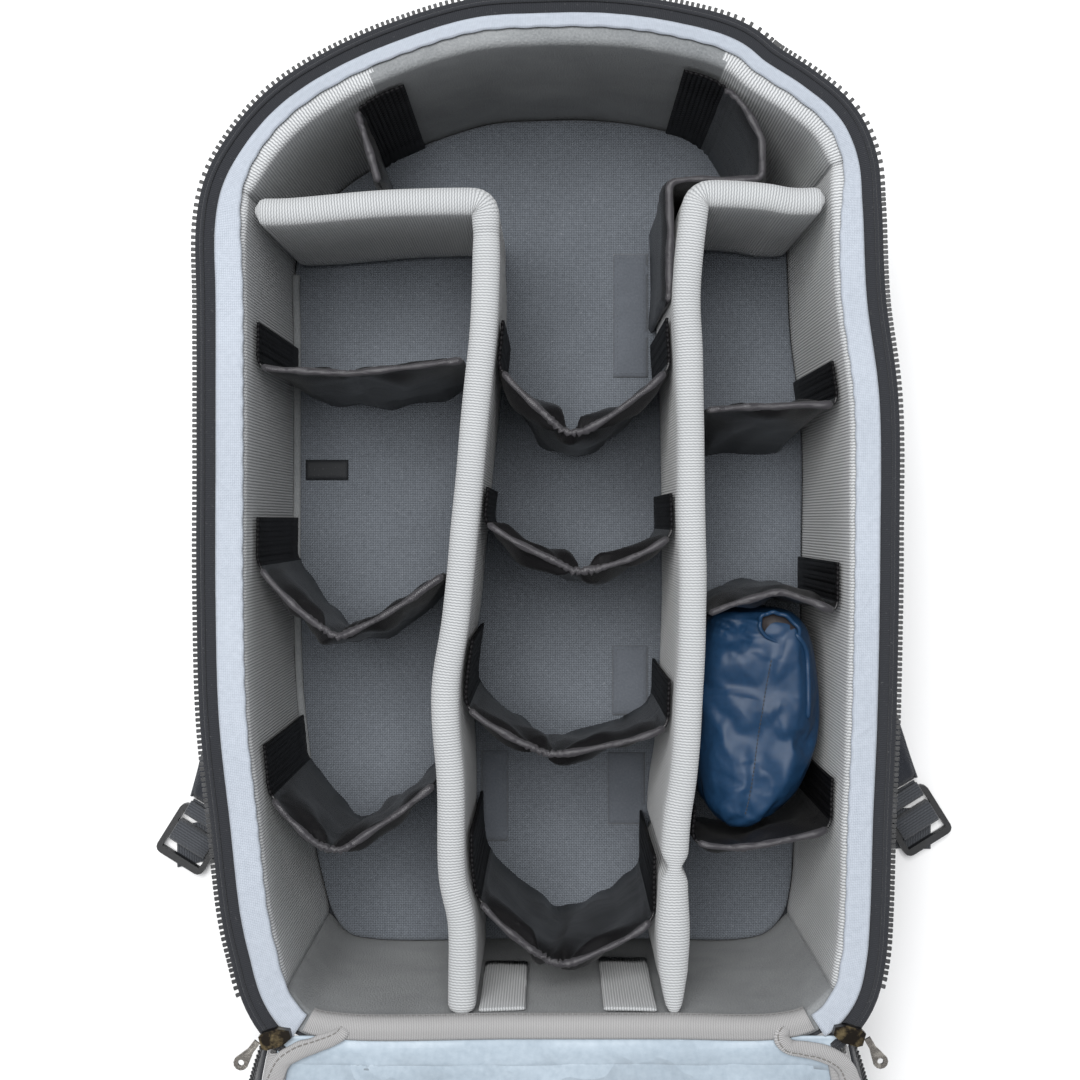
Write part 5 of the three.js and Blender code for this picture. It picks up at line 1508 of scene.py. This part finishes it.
def settle(piece, held, looser, pressure, reach, frames=26):
    # Slack cloth round a filling buckles into folds between the places where it is held
    before = np.array([corner.co for corner in piece.data.vertices])
    pins = piece.vertex_groups.new(name="held")
    for index, spot in enumerate(before * 1000):
        weight = held(spot)
        if weight > 0:
            pins.add([index], weight, "REPLACE")
    clearSelection()
    bpy.context.view_layer.objects.active = piece
    cloth = piece.modifiers.new("Cloth", "CLOTH")
    cloth.settings.quality = 6
    cloth.settings.mass = 0.15
    cloth.settings.tension_stiffness = 25
    cloth.settings.compression_stiffness = 25
    cloth.settings.shear_stiffness = 8
    cloth.settings.bending_stiffness = 0.25
    cloth.settings.air_damping = 4
    cloth.settings.use_pressure = True
    cloth.settings.uniform_pressure_force = pressure
    cloth.settings.shrink_min = -looser
    cloth.settings.vertex_group_mass = "held"
    cloth.settings.effector_weights.gravity = 0
    cloth.collision_settings.use_self_collision = False
    cloth.point_cache.frame_start, cloth.point_cache.frame_end = 1, frames
    for step in range(1, frames + 1):
        bpy.context.scene.frame_set(step)
    pickPiece(piece)
    bpy.ops.object.modifier_apply(modifier=cloth.name)
    bpy.context.scene.frame_set(1)
    after = np.array([corner.co for corner in piece.data.vertices])
    step = after - before
    far = np.linalg.norm(step, axis=1, keepdims=True) * 1000
    after = before + step * np.minimum(1, reach / np.maximum(far, 1e-6))
    piece.data.vertices.foreach_set("co", after.ravel())
    piece.data.update()


def heldAt(spot):
    away = seamAway(spot)
    top = spot[2] > levels["dividerFoot"] + pouch["height"] * 0.75
    if top and away < 1.6:
        return 1.0
    gathered = np.linalg.norm(spot - np.array([*placeOf(0.683, -0.628),
                                               levels["dividerFoot"] + 0.84 * pouch["height"]]))
    if gathered < 7:
        return 1.0
    return 0.35 if spot[2] < levels["dividerFoot"] + 8 else 0.0


def buildPouch():
    bag = pouchFilling()
    applied(bag, "REMESH", mode="VOXEL", voxel_size=pouch["grain"] * 0.001)
    applied(bag, "SMOOTH", factor=0.5, iterations=4)
    settle(bag, heldAt, pouch["looser"], pouch["pressure"], pouch["reach"])
    spots = np.array([corner.co for corner in bag.data.vertices]) * 1000
    low = levels["dividerFoot"] + 0.15
    knot, opening = placeOf(0.683, -0.628), placeOf(0.64, -0.215)
    for spot in spots:
        if spot[2] > low + 60:
            # drawn in along the seam, pleated toward the knot, slack and low beside the opening
            spot[2] -= 2.0 * math.exp(-(seamAway(spot) / 1.8) ** 2)
            turn = math.atan2(spot[1] - knot[1], spot[0] - knot[0])
            spot[2] += 1.7 * math.sin(turn * 11) * math.exp(-np.linalg.norm(spot[:2] - knot) / 11)
            aside = spot[:2] - opening
            slack = math.exp(-(aside[0] / 13) ** 2 - (aside[1] / 9) ** 2)
            spot[2] -= slack * (11 + 3.0 * math.sin(aside[0] * 0.55 + aside[1] * 0.9) + 2 * math.sin(aside[1]
                                                                                                     * 0.8 - 1))
        spot[2] = max(spot[2], low)
    bag.data.vertices.foreach_set("co", (spots * 0.001).ravel())
    applied(bag, "SUBSURF", levels=1, render_levels=1)
    bag.data.polygons.foreach_set("use_smooth", [True] * len(bag.data.polygons))
    dress(bag, "pouch", ["rain_cover_pouch"])
    print("pouch cloth settled")

    line = evenly(smoothThrough([placeOf(*row) for row in pouch["seam"]], parts=10), 0.8)
    stitchesAlong("pouch_seam", [(x, y, surfaceLevel(bag, (x, y)) + 0.25) for x, y in line], 2.0, "tape",
                  thick=0.34)
    buildPouchHem(bag)


def surfaceLevel(piece, spot, above=0.3):
    # Height of a piece's top under a place given in mm
    found, where, normal, face = piece.ray_cast(Vector((spot[0] * 0.001, spot[1] * 0.001, above)),
                                                Vector((0, 0, -1)))
    return where.z * 1000 if found else levels["dividerFoot"]


def buildPouchHem(bag):
    # The open end: a rolled hem round a hollow painted near-black as painted shade; the hem's end runs on down the
    # right side
    hem = pouch["hem"]
    x, y = placeOf(*hem["centre"])
    z = levels["dividerFoot"] + hem["level"] * pouch["height"]
    ring, hollow = [], []

    def turned(wide, deep, ca, sa):
        return (x + wide * ca * math.cos(hem["turn"]) - deep * sa * math.sin(hem["turn"]),
                y + wide * ca * math.sin(hem["turn"]) + deep * sa * math.cos(hem["turn"]))

    for ca, sa in circle(60):
        fold = sag(9 * ca, 9 * sa, 3, 4, 0.9)
        ring.append((*turned(hem["wide"] + fold, hem["deep"] + fold, ca, sa),
                     z + 1.2 * sa + 1.5 * fold - 1.4 * ca))
        hollow.append((*turned(hem["wide"] - 0.4, hem["deep"] - 0.4, ca, sa), z - 1.0))
    ring = np.array(ring)
    rows = []
    for spot, way in zip(ring, headings(ring, closed=True)):
        across = np.cross(way, (0, 0, 1))
        across /= np.linalg.norm(across)
        up = np.cross(across, way)
        rows.append([spot + (across * ca * 0.9 + up * sa * 1.15) * hem["fat"] for ca, sa in circle(14)])
    roll = sweptPiece("pouch_hem", rows, closedAlong=True)
    dress(roll, "pouch")
    centre = np.array([x, y, z])
    hollow = np.array(hollow)
    rows = [hollow, hollow - (0, 0, 0.8), centre + (hollow - centre) * 0.8 - (0, 0, 2.4),
            centre + (hollow - centre) * 0.3 - (0, 0, 2.6)]
    # A shallow near-black cup: painted shade inside the opening
    dark = sweptPiece("pouch_hollow_painted_shade", rows)
    dress(dark, "hollow")

    trail = [placeOf(0.855, -0.215), placeOf(0.895, -0.25), placeOf(0.905, -0.32), placeOf(0.905, -0.4)]
    line = evenly(smoothThrough(trail, parts=10), 1.2)
    line = np.array([(px, py, surfaceLevel(bag, (px, py)) + 0.6) for px, py in line])
    smooth = line[:, 2].copy()
    for turn in range(8):
        smooth[1:-1] = np.maximum(line[1:-1, 2], (smooth[:-2] + smooth[2:]) / 2)
    line[:, 2] = smooth
    rows = []
    for i, (spot, way) in enumerate(zip(line, headings(line))):
        fat = 1.35 * hem["fat"] * math.sqrt(max(0.06, 1 - max(0, 1 - min(i, len(line) - 1 - i) / 2.5) ** 2))
        across = np.cross(way, (0, 0, 1))
        across /= max(np.linalg.norm(across), 1e-6)
        up = np.cross(across, way)
        rows.append([spot + (across * ca * 0.8 + up * sa * 0.7) * fat for ca, sa in circle(12)])
    strip = sweptPiece("pouch_hem_end", rows)
    dress(strip, "pouch")


buildPouch()
print("pouch built")


# Folded-down front

front = {
    "headAngle": 8, "fallAngle": 58, "shoulder": 60, "foot": 110, "clear": 0.8, "thickness": 10,
    "cornerRun": 45, "hingeTaper": 8, "hingeLevel": 176,
}
shellEdge = mouthAt(np.arange(900) / 900, offsets["shellOuter"])
flapStart = shellEdge[:, 1].min() - 0.3
flapLength = shellEdge[:, 1].max() - flapStart


def fallLine(slope):
    line = [(flapStart, front["hingeLevel"], front["headAngle"])]
    step = 2
    for run in np.arange(step, flapLength + 20 + 0.1, step):
        angle = front["headAngle"] + (front["fallAngle"] - front["headAngle"]) * min(1,
                                                                                     run / front["shoulder"])
        past = run - front["shoulder"] - slope
        if past > 0:
            angle = front["fallAngle"] * max(0, 1 - past / front["foot"])
        y, z, last = line[-1]
        turn = math.radians(angle)
        line.append((y - step * math.cos(turn), z - step * math.sin(turn), angle))
    return np.array(line)


shortest, longest = 0, flapLength
for attempt in range(40):
    middle = (shortest + longest) / 2
    if fallLine(middle)[-1, 1] > front["clear"]:
        shortest = middle
    else:
        longest = middle
fall = fallLine(longest)
fallRuns = np.arange(len(fall)) * 2.0


def flapPoint(x, run, height):
    at = min(max(run, 0), fallRuns[-1])
    y, z, angle = (np.interp(at, fallRuns, fall[:, column]) for column in range(3))
    turn = math.radians(angle)
    return (x, y - min(run, 0) - height * math.sin(turn), z + height * math.cos(turn))


edgeShares = np.arange(1200) / 1200


def flapEdge(share, offset):
    flat = mouthAt(share, offsets["shellOuter"] - 1 + offset)
    return flat[..., 0], flat[..., 1] - flapStart


edgeX, edgeRun = flapEdge(edgeShares, 0)
headShare = edgeShares[np.argmax(edgeRun)]
farRun = edgeRun.max()
straightRun = farRun - 95
sideTable = {}
for sideName, shares in (("left", np.linspace(0.0, headShare, 500)),
                         ("right", np.linspace(0.9, headShare, 500))):
    xs, runs = flapEdge(shares, 0)
    keep = slice(int(np.argmin(runs)), None)
    runs, order = np.maximum.accumulate(runs[keep]), shares[keep]
    sideTable[sideName] = (runs + np.arange(len(runs)) * 1e-6, order)


def flapSide(run, sideName, offset):
    runs, shares = sideTable[sideName]
    share = np.interp(max(run, front["cornerRun"]), runs, shares)
    taper = front["hingeTaper"] * (1 - min(1, run / front["cornerRun"])) ** 1.5
    return flapEdge(share, offset)[0] - (taper if sideName == "right" else -taper)


def flapBorder(offset):
    # Points (width, run) from the hinge down the left side, round the head and back up the right side
    sideRuns = np.arange(0, straightRun, 7.0)
    left = [(flapSide(run, "left", offset), run) for run in sideRuns]
    right = [(flapSide(run, "right", offset), run) for run in sideRuns[::-1]]
    low = np.interp(straightRun + 3, *sideTable["left"])
    high = np.interp(straightRun + 3, *sideTable["right"])
    arch = [tuple(float(value) for value in flapEdge(share, offset)) for share in np.linspace(low, high, 90)]
    return left + arch + right


def flapRows(inset, columns):
    xs, runs = flapEdge(edgeShares, -inset)
    last = runs.max()
    line = list(np.arange(0, straightRun,
                          6.0)) + list(last - np.array([88, 80, 70, 58, 46, 36, 27, 19, 12, 7, 3.5, 1.2]))
    rows = []
    for run in line:
        if run < straightRun:
            left, right = flapSide(run, "left", -inset), flapSide(run, "right", -inset)
        else:
            found = crossings(np.column_stack([xs, runs]), 1, run, True)
            left, right = min(found), max(found)
        rows.append([(left + (right - left) * t, run) for t in np.linspace(0, 1, columns)])
    return rows


def liningSlack(x, run, edge):
    # Broad soft folds where the lining isn't sewn down
    free = min(1, max(edge - 8, 0) / 14)
    fold = sag(x * 0.45 + 300, run * 1.5, 0, 34, 1.0)
    ridge = (1 - min(1, abs(fold) * 4.5)) ** 2 * 2.4
    return max(free * (ridge + sag(x, run, 9, 45, 1.6)) + sag(x, run, 4, 12, 0.2), -0.3)


def buildFlap():
    thickness = front["thickness"]
    rows = []
    for row in flapRows(0.3, 34):
        upper, under = [], []
        for k, (x, run) in enumerate(row):
            t = k / (len(row) - 1)
            edge = min(t, 1 - t) * (row[-1][0] - row[0][0])
            rounding = math.sqrt(max(0, 1 - max(0, 1 - edge / 4) ** 2))
            upper.append(flapPoint(x, run,
                                   thickness / 2 + (thickness / 2 - 0.2) * rounding + sag(x, run, 0, 60,
                                                                                          0.3) - 0.2))
            lower = thickness / 2 - (thickness / 2 - 0.1) * rounding
            under.append(flapPoint(x, run, lower + 0.3 * (1 + sag(x, run, 0, 70, 1.0))))
        rows.append(upper + under[::-1])
    panel = sweptPiece("front_panel", rows)
    dress(panel, "nylon", ["flap_panel"])

    rows = []
    for row in flapRows(2.5, 76):
        upper, under = [], []
        width = row[-1][0] - row[0][0]
        for k, (x, run) in enumerate(row):
            t = k / (len(row) - 1)
            edge = min(min(t, 1 - t) * width, run + 12, farRun - run)
            upper.append(flapPoint(x, run, thickness + 1.05 + liningSlack(x, run, edge)))
            under.append(flapPoint(x, run, thickness + 0.35))
        rows.append(upper + under[::-1])
    lining = sweptPiece("front_lining", rows)
    dress(lining, "satin", ["flap_lining"])


def alongFlapEdge(name, profile, finish, nodes=()):
    # Sweeps a profile of (outward, height) pairs, or a function of the run that gives it, along the border
    sample = profile(100.0) if callable(profile) else profile
    borders = [flapBorder(outward) for outward, height in sample] if not callable(profile) else None
    rows = []
    if borders:
        for spots in zip(*borders):
            rows.append([flapPoint(x, run, height) for (x, run), (outward, height) in zip(spots, profile)])
    else:
        inner, outer = flapBorder(0.0), flapBorder(10.0)
        for (x0, run0), (x1, run1) in zip(inner, outer):
            rows.append([flapPoint(x0 + (x1 - x0) * outward / 10, run0 + (run1 - run0) * outward / 10, height)
                         for outward, height in profile(run0)])
    piece = sweptPiece(name, rows)
    return dress(piece, finish, nodes)


def buildFlapEdge():
    top = front["thickness"] + 1.4
    loop = [(0.4, 0.3), (1.5, 0.6), (1.75, 5), (1.6, 10.5), (0.7, top + 1.7), (-1.2, top + 2.3),
            (-4, top + 2.35),
            (-5.2, top + 2.0), (-7.6, top + 2.2), (-9.4, top + 1.9), (-10.1, top + 0.9), (-9.6, top + 0.3),
            (-4, top + 0.4), (-0.4, top + 0.3), (0.25, 10.5), (0.35, 5)]
    alongFlapEdge("front_binding", loop, "binding", ["flap_binding"])

    root = 2.0

    def turned(run, reach, side):
        angle = math.radians(75 - 63 * min(max(run / 150, 0), 1))
        return (root + reach * math.cos(angle) + side * math.sin(angle),
                4.6 - reach * math.sin(angle) + side * math.cos(angle))

    alongFlapEdge("front_tape", lambda run: [turned(run, reach, side) for reach, side in (
        (0.3, 0.1), (5, 0.0), (9.5, 0.1), (9.5, 1.0), (5, 1.1), (0.3,
                                                                 1.0))], "tape", ["flap_zip_tape"])

    inner, outer = flapBorder(0.0), flapBorder(10.0)
    line, outward, upward = [], [], []
    for (x0, run0), (x1, run1) in zip(inner, outer):
        def at(reach, side, x0=x0, run0=run0, x1=x1, run1=run1):
            out, height = turned(run0, reach, side)
            return np.array(flapPoint(x0 + (x1 - x0) * out / 10, run0 + (run1 - run0) * out / 10, height))

        middle, tip, above = at(10.3, 0.6), at(12.3, 0.6), at(10.3, 2.6)
        line.append(middle)
        outward.append((tip - middle) / np.linalg.norm(tip - middle))
        upward.append((above - middle) / np.linalg.norm(above - middle))
    line, outward, upward = np.array(line), np.array(outward), np.array(upward)
    run = lengthsOf(line)
    at = np.arange(4, run[-1] - 4, tooth["pitch"])
    spots, outs, ups = (np.stack([np.interp(at, run, rows[:, axis]) for axis in range(3)], axis=1)
                        for rows in (line, outward, upward))
    outs /= np.linalg.norm(outs, axis=1, keepdims=True)
    teeth = teethAlong("front_teeth", spots, outs, ups)
    dress(teeth, "teeth", ["flap_zip_chain"])


def buildHingeLining():
    # The front's lining runs on over the foot wall's top, under the grey roll
    rows = []
    left, right = flapSide(0, "left", -3.5), flapSide(0, "right", -3.5)
    for x in np.linspace(left, right, 120):
        upper, under = [], []
        for back in (7.2, 5.5, 3.5, 1.5, -1, -4, -7.5):     # mm inward of the front's own start
            if back > 0:
                y, z = flapStart + back, 188.2 + 0.25 * math.sin(back)
            else:
                y, z = flapPoint(x, -back,
                                 front["thickness"] + (1.4 if back > -2 else 1.2 if back > -5 else 0.5))[1:]
            slack = liningSlack(x, -back, 12 - back)
            upper.append((x, y, z + 0.15 + slack * min(1, max(0, 5.5 - back) / 4)))
            under.append((x, y, z - 0.2))
        rows.append(upper + under[::-1])
    strip = sweptPiece("hinge_lining", rows)
    dress(strip, "satin")


def buildWallPiping():
    # A soft welt along the foot of the left wall
    ends = shareNear(-0.98, 0.62), shareNear(-0.95, -0.6)
    shares = sharesBetween(min(ends), max(ends), 2.5)
    welt = alongMouth("wall_welt_left", shares, lambda share: [
        (-2.2 + 2.1 * ca, levels["floorTop"] + 1.4 + 1.8 * sa + sag(share * 900, 0, 0, 20, 0.5))
        for ca, sa in circle(14)])
    dress(welt, "liningNap")


buildFlap()
buildHingeLining()
buildWallPiping()
buildFlapEdge()
print("front built")


# Binding ends beside the hinge

bindingEnds = {
    "left": {"route": [(-131.5, -262.5, 187.0), (-126.5, -251.5, 189.2), (-119.5, -245.8, 190.6),
                       (-108.5, -241.6, 191.2),
                       (-98.0, -236.8, 191.4), (-95.5, -233.0, 190.6)], "width": 9.5, "fat": 3.6},
    "right": {"route": [(148.5, -262.5, 187.0), (143.5, -252.0, 189.2), (135.0, -246.6, 190.6),
                        (124.0, -244.0, 191.2),
                        (117.0, -242.6, 191.4), (113.8, -237.6, 191.2), (116.5, -233.0,
                                                                         190.4)], "width": 9.5, "fat": 3.4},
}


def buildBindingEnds():
    # The binding of the front's edge rolls over and is tucked in beside the hinge
    for side, row in bindingEnds.items():
        line = evenly(smoothThrough(row["route"], parts=12), 0.9)
        run = lengthsOf(line)
        ways = headings(line)
        rows = []
        for i, spot in enumerate(line):
            share = run[i] / run[-1]
            across = np.cross([0, 0, 1], ways[i])
            across /= np.linalg.norm(across)
            up = np.cross(ways[i], across)
            wide = row["width"] / 2 * (1 - 0.25 * share) * math.sqrt(max(0.03,
                                                                         1 - max(0, 1 - (run[-1] - run[i])
                                                                                 / 3) ** 2))
            fat = row["fat"] / 2 * (0.55 + 0.45 * min(1, share * 3)) * math.sqrt(max(
                0.03, 1 - max(0, 1 - (run[-1] - run[i]) / 3) ** 2))
            ring = []
            for ca, sa in circle(28):
                wave = sag(spot[0] + 9 * ca, spot[1], 5 * sa, 6, 0.55)
                ring.append(spot + across * (wide + wave) * math.copysign(abs(ca) ** 0.8, ca)
                            + up * (fat + wave * 0.5) * sa)
            rows.append(ring)
        piece = sweptPiece("binding_end_" + side, rows)
        dress(piece, "binding")


# Harness

harness = {
    "strap": [   # across, along, width and lift of the padded strap, from its sewn head to its narrow end
        (0.322, 0.894, 50, 14.5), (0.425, 0.8, 56, 13), (0.603, 0.698, 60, 4), (0.767, 0.502, 60, 0),
        (0.89, 0.238, 58, 0), (1.014, -0.017, 56, 0), (1.151, -0.251, 52, 0), (1.253, -0.443, 44, 0),
        (1.345, -0.57, 36, 0), (1.418, -0.651, 28, 0)],
    "anchor": [  # across, along and lift of the lower webbing
        (1.568, -0.757, 0.6), (1.404, -0.757, 0.6), (1.247, -0.77, 2.5), (1.096, -0.809, 15), (0.959, -0.851,
                                                                                               25.8),
        (0.863, -0.877, 25.8)],
    "thickness": 13, "clear": 0.4, "endDirection": -58,
    "webbing": 24.2, "webbingThickness": 1.5,
    "lockStart": 5.5, "lockLength": 33, "lockBar": 4.2, "lockMiddle": 9.5, "lockLevel": 4.4, "lockHeight": 5,
    "sides": {"left": (-1, 10, 11), "right": (1, 0, 0)},
}


def swayed(side, x, y, share):
    sign, inward, lowered = harness["sides"][side]
    return sign * (x - inward * share ** 2), y - lowered * share ** 2


def buildStrap(side):
    rows = [(*placeOf(row[0], row[1]), row[2], row[3]) for row in harness["strap"]]
    line = evenly(smoothThrough(rows, parts=10), 3.0)
    ways = headings(line[:, :2])
    count = len(line)
    sections, binding = [], {1: [], -1: []}
    for i, (x, y, width, lift) in enumerate(line):
        share = i / (count - 1)
        near = min(i, count - 1 - i) * 3.0
        shrink = math.sqrt(max(0.1, 1 - max(0, 1 - near / 5) ** 2))
        low = harness["clear"] + lift
        middle = low + harness["thickness"] / 2
        out = np.array([-ways[i][1], ways[i][0]])
        ring = []
        for ca, sa in circle(40):
            reach = width / 2 * math.copysign(abs(ca) ** 0.55, ca) * (0.85 + 0.15 * shrink)
            thick = (harness["thickness"] / 2 - 0.2) * math.copysign(abs(sa) ** 0.6, sa) * shrink
            channel = 0.9 * math.exp(-((abs(reach) - width * 0.3) / 1.6) ** 2) * (1 if sa > 0 else 0.3)
            spot = np.array([x, y]) + out * reach
            z = middle + thick * (1 - channel / 6) + sag(spot[0], spot[1], sa * 9, 24, 0.45) * max(sa, 0)
            ring.append((*swayed(side, spot[0], spot[1], share), max(z, low)))
        sections.append(ring)
        for edge in (1, -1):
            spot = np.array([x, y]) + out * edge * (width / 2 - 0.4)
            binding[edge].append((*swayed(side, spot[0], spot[1], share), middle))
    strap = sweptPiece("padded_strap_" + side, sections)
    dress(strap, "strap", ["shoulder_strap_" + side])
    for edge, name in ((1, "inner"), (-1, "outer")):
        tube = []
        line = np.array(binding[edge])
        for spot, way in zip(line, headings(line)):
            out = np.cross([0, 0, 1], way)
            tube.append([spot + out * ca + np.array([0, 0, 3.4 * sa]) for ca, sa in circle(12)])
        piece = sweptPiece("strap_binding_%s_%s" % (name, side), tube)
        dress(piece, "webbing")


def lockPlace(side, along, across, z):
    heading = math.radians(harness["endDirection"])
    endX, endY = placeOf(1.418, -0.651)
    x = endX + math.cos(heading) * along - math.sin(heading) * across
    y = endY + math.sin(heading) * along + math.cos(heading) * across
    return (*swayed(side, x, y, 1), z)


def stripPiece(name, points, widthAt, thickness, placeAt, finish, nodes=()):
    # Woven strip bent in its own upright plane: points are (along, height)
    line = evenly(smoothThrough(points, parts=8), 0.6)
    ways = headings(line)
    rows = []
    for spot, way in zip(line, ways):
        normal = np.array([-way[1], way[0]])
        half = widthAt / 2
        ring = []
        for across, lift in ((-half, 0), (-half + 0.5, 0.5), (-half / 3, 0.5), (half / 3, 0.5),
                             (half - 0.5, 0.5),
                             (half, 0), (half - 0.5, -0.5), (half / 3, -0.5), (-half / 3,
                                                                               -0.5), (-half + 0.5, -0.5)):
            at = spot + normal * lift * thickness
            ring.append(placeAt(at[0], across, at[1]))
        rows.append(ring)
    piece = sweptPiece(name, rows)
    return dress(piece, finish, nodes)


def buildLockWebbing(side):
    start, length, bar, middle = (harness[key] for key in ("lockStart", "lockLength", "lockBar",
                                                           "lockMiddle"))
    level, height = harness["lockLevel"], harness["lockHeight"]
    first = (start + bar, start + (length - middle) / 2)
    second = (start + (length + middle) / 2, start + length - bar)
    clear = harness["webbingThickness"] / 2 + 0.35
    top, low = level + height + clear, level - clear

    def placeAt(along, across, z):
        return lockPlace(side, along, across, z)

    loops = {
        "strap_loop_": [(2.5, top - 0.2), (first[0] + clear - 1.6, top), (first[0] + clear, top - 1.4),
                        (first[0] + clear, low + 1.4), (first[0] + clear - 1.6, low), (2.5, low + 0.1)],
        "buckle_webbing_": [(first[1] - clear, low), (first[1] - clear, top - 1.5),
                            (first[1] - clear + 1.6, top + 0.1),
                            (second[0] + clear - 1.6, top + 0.1), (second[0] + clear, top - 1.5),
                            (second[0] + clear, low)],
    }
    for name, points in loops.items():
        stripPiece(name + side + "_web", points, harness["webbing"], harness["webbingThickness"], placeAt,
                   "webbing", [name + side])


def buildAnchor(side):
    rows = [(*placeOf(row[0], row[1]), row[2]) for row in harness["anchor"]]
    line = evenly(smoothThrough(rows, parts=10), 2.0)
    ways = headings(line[:, :2])
    sections = []
    half, thick = harness["webbing"] / 2, harness["webbingThickness"]
    for i, (x, y, z) in enumerate(line):
        share = 1 - i / (len(line) - 1)
        ring = []
        for across, up in ((-half, 0.5), (-half + 0.6, 0), (-4, 0), (4, 0), (half - 0.6, 0), (half, 0.5),
                           (half - 0.6, 1), (4, 1), (-4, 1), (-half + 0.6, 1)):
            ring.append((*swayed(side, x - ways[i][1] * across, y + ways[i][0] * across, share),
                         z + up * thick))
        sections.append(ring)
    piece = sweptPiece("anchor_web_" + side, sections)
    dress(piece, "webbing", ["anchor_webbing_" + side])


def buildSpinePad():
    low, high = placeOf(-0.397, -0.889), placeOf(0.397, 0.685)
    base, top = 0.05, levels["shellBase"] - seamGap
    edge = roundedLoop([low, (high[0], low[1]), high, (low[0], high[1])], 24, 10)
    edge = evenly(np.vstack([edge, edge[:1]]), 3.0)[:-1]
    centre = edge.mean(axis=0)
    rings = [(0.93, top), (0.97, top - 0.3), (0.99, top - 2.5), (1.0, top - 6), (1.0, base + 9),
             (0.985, base + 4.5), (0.955, base + 1.4), (0.9, base + 0.2)]
    rows = []
    for scale, z in rings:
        inset = (1 - scale) * 58
        rows.append([(*(spot - (spot - centre) / np.linalg.norm(spot - centre) * inset), z) for spot in edge])
    # The underside: three channels pressed into the foam, level where it rests
    for scale in (0.8, 0.68, 0.56, 0.44, 0.32, 0.2, 0.08):
        ring = []
        for spot in edge:
            x, y = centre + (spot - centre) * scale
            groove = max(0, math.sin(y / 26.0)) ** 10 * 2.0
            ring.append((x, y, base + groove))
        rows.append(ring)
    pad = sweptPiece("spine_cushion", rows)
    planarCloth(pad)
    dress(pad, "mesh", ["spine_pad"])


buildBindingEnds()
for side in ("left", "right"):
    buildStrap(side)
    buildLockWebbing(side)
    buildAnchor(side)
buildSpinePad()
print("harness built")


# Hard parts that keep their drawn shape

for side in ("left", "right"):
    for node, finish in (("ladder_lock_", "plastic"), ("zip_slider_", "slider"), ("zip_pull_", "pull")):
        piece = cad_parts[node + side]
        piece.data.materials.clear()
        piece.data.materials.append(finishes[finish])
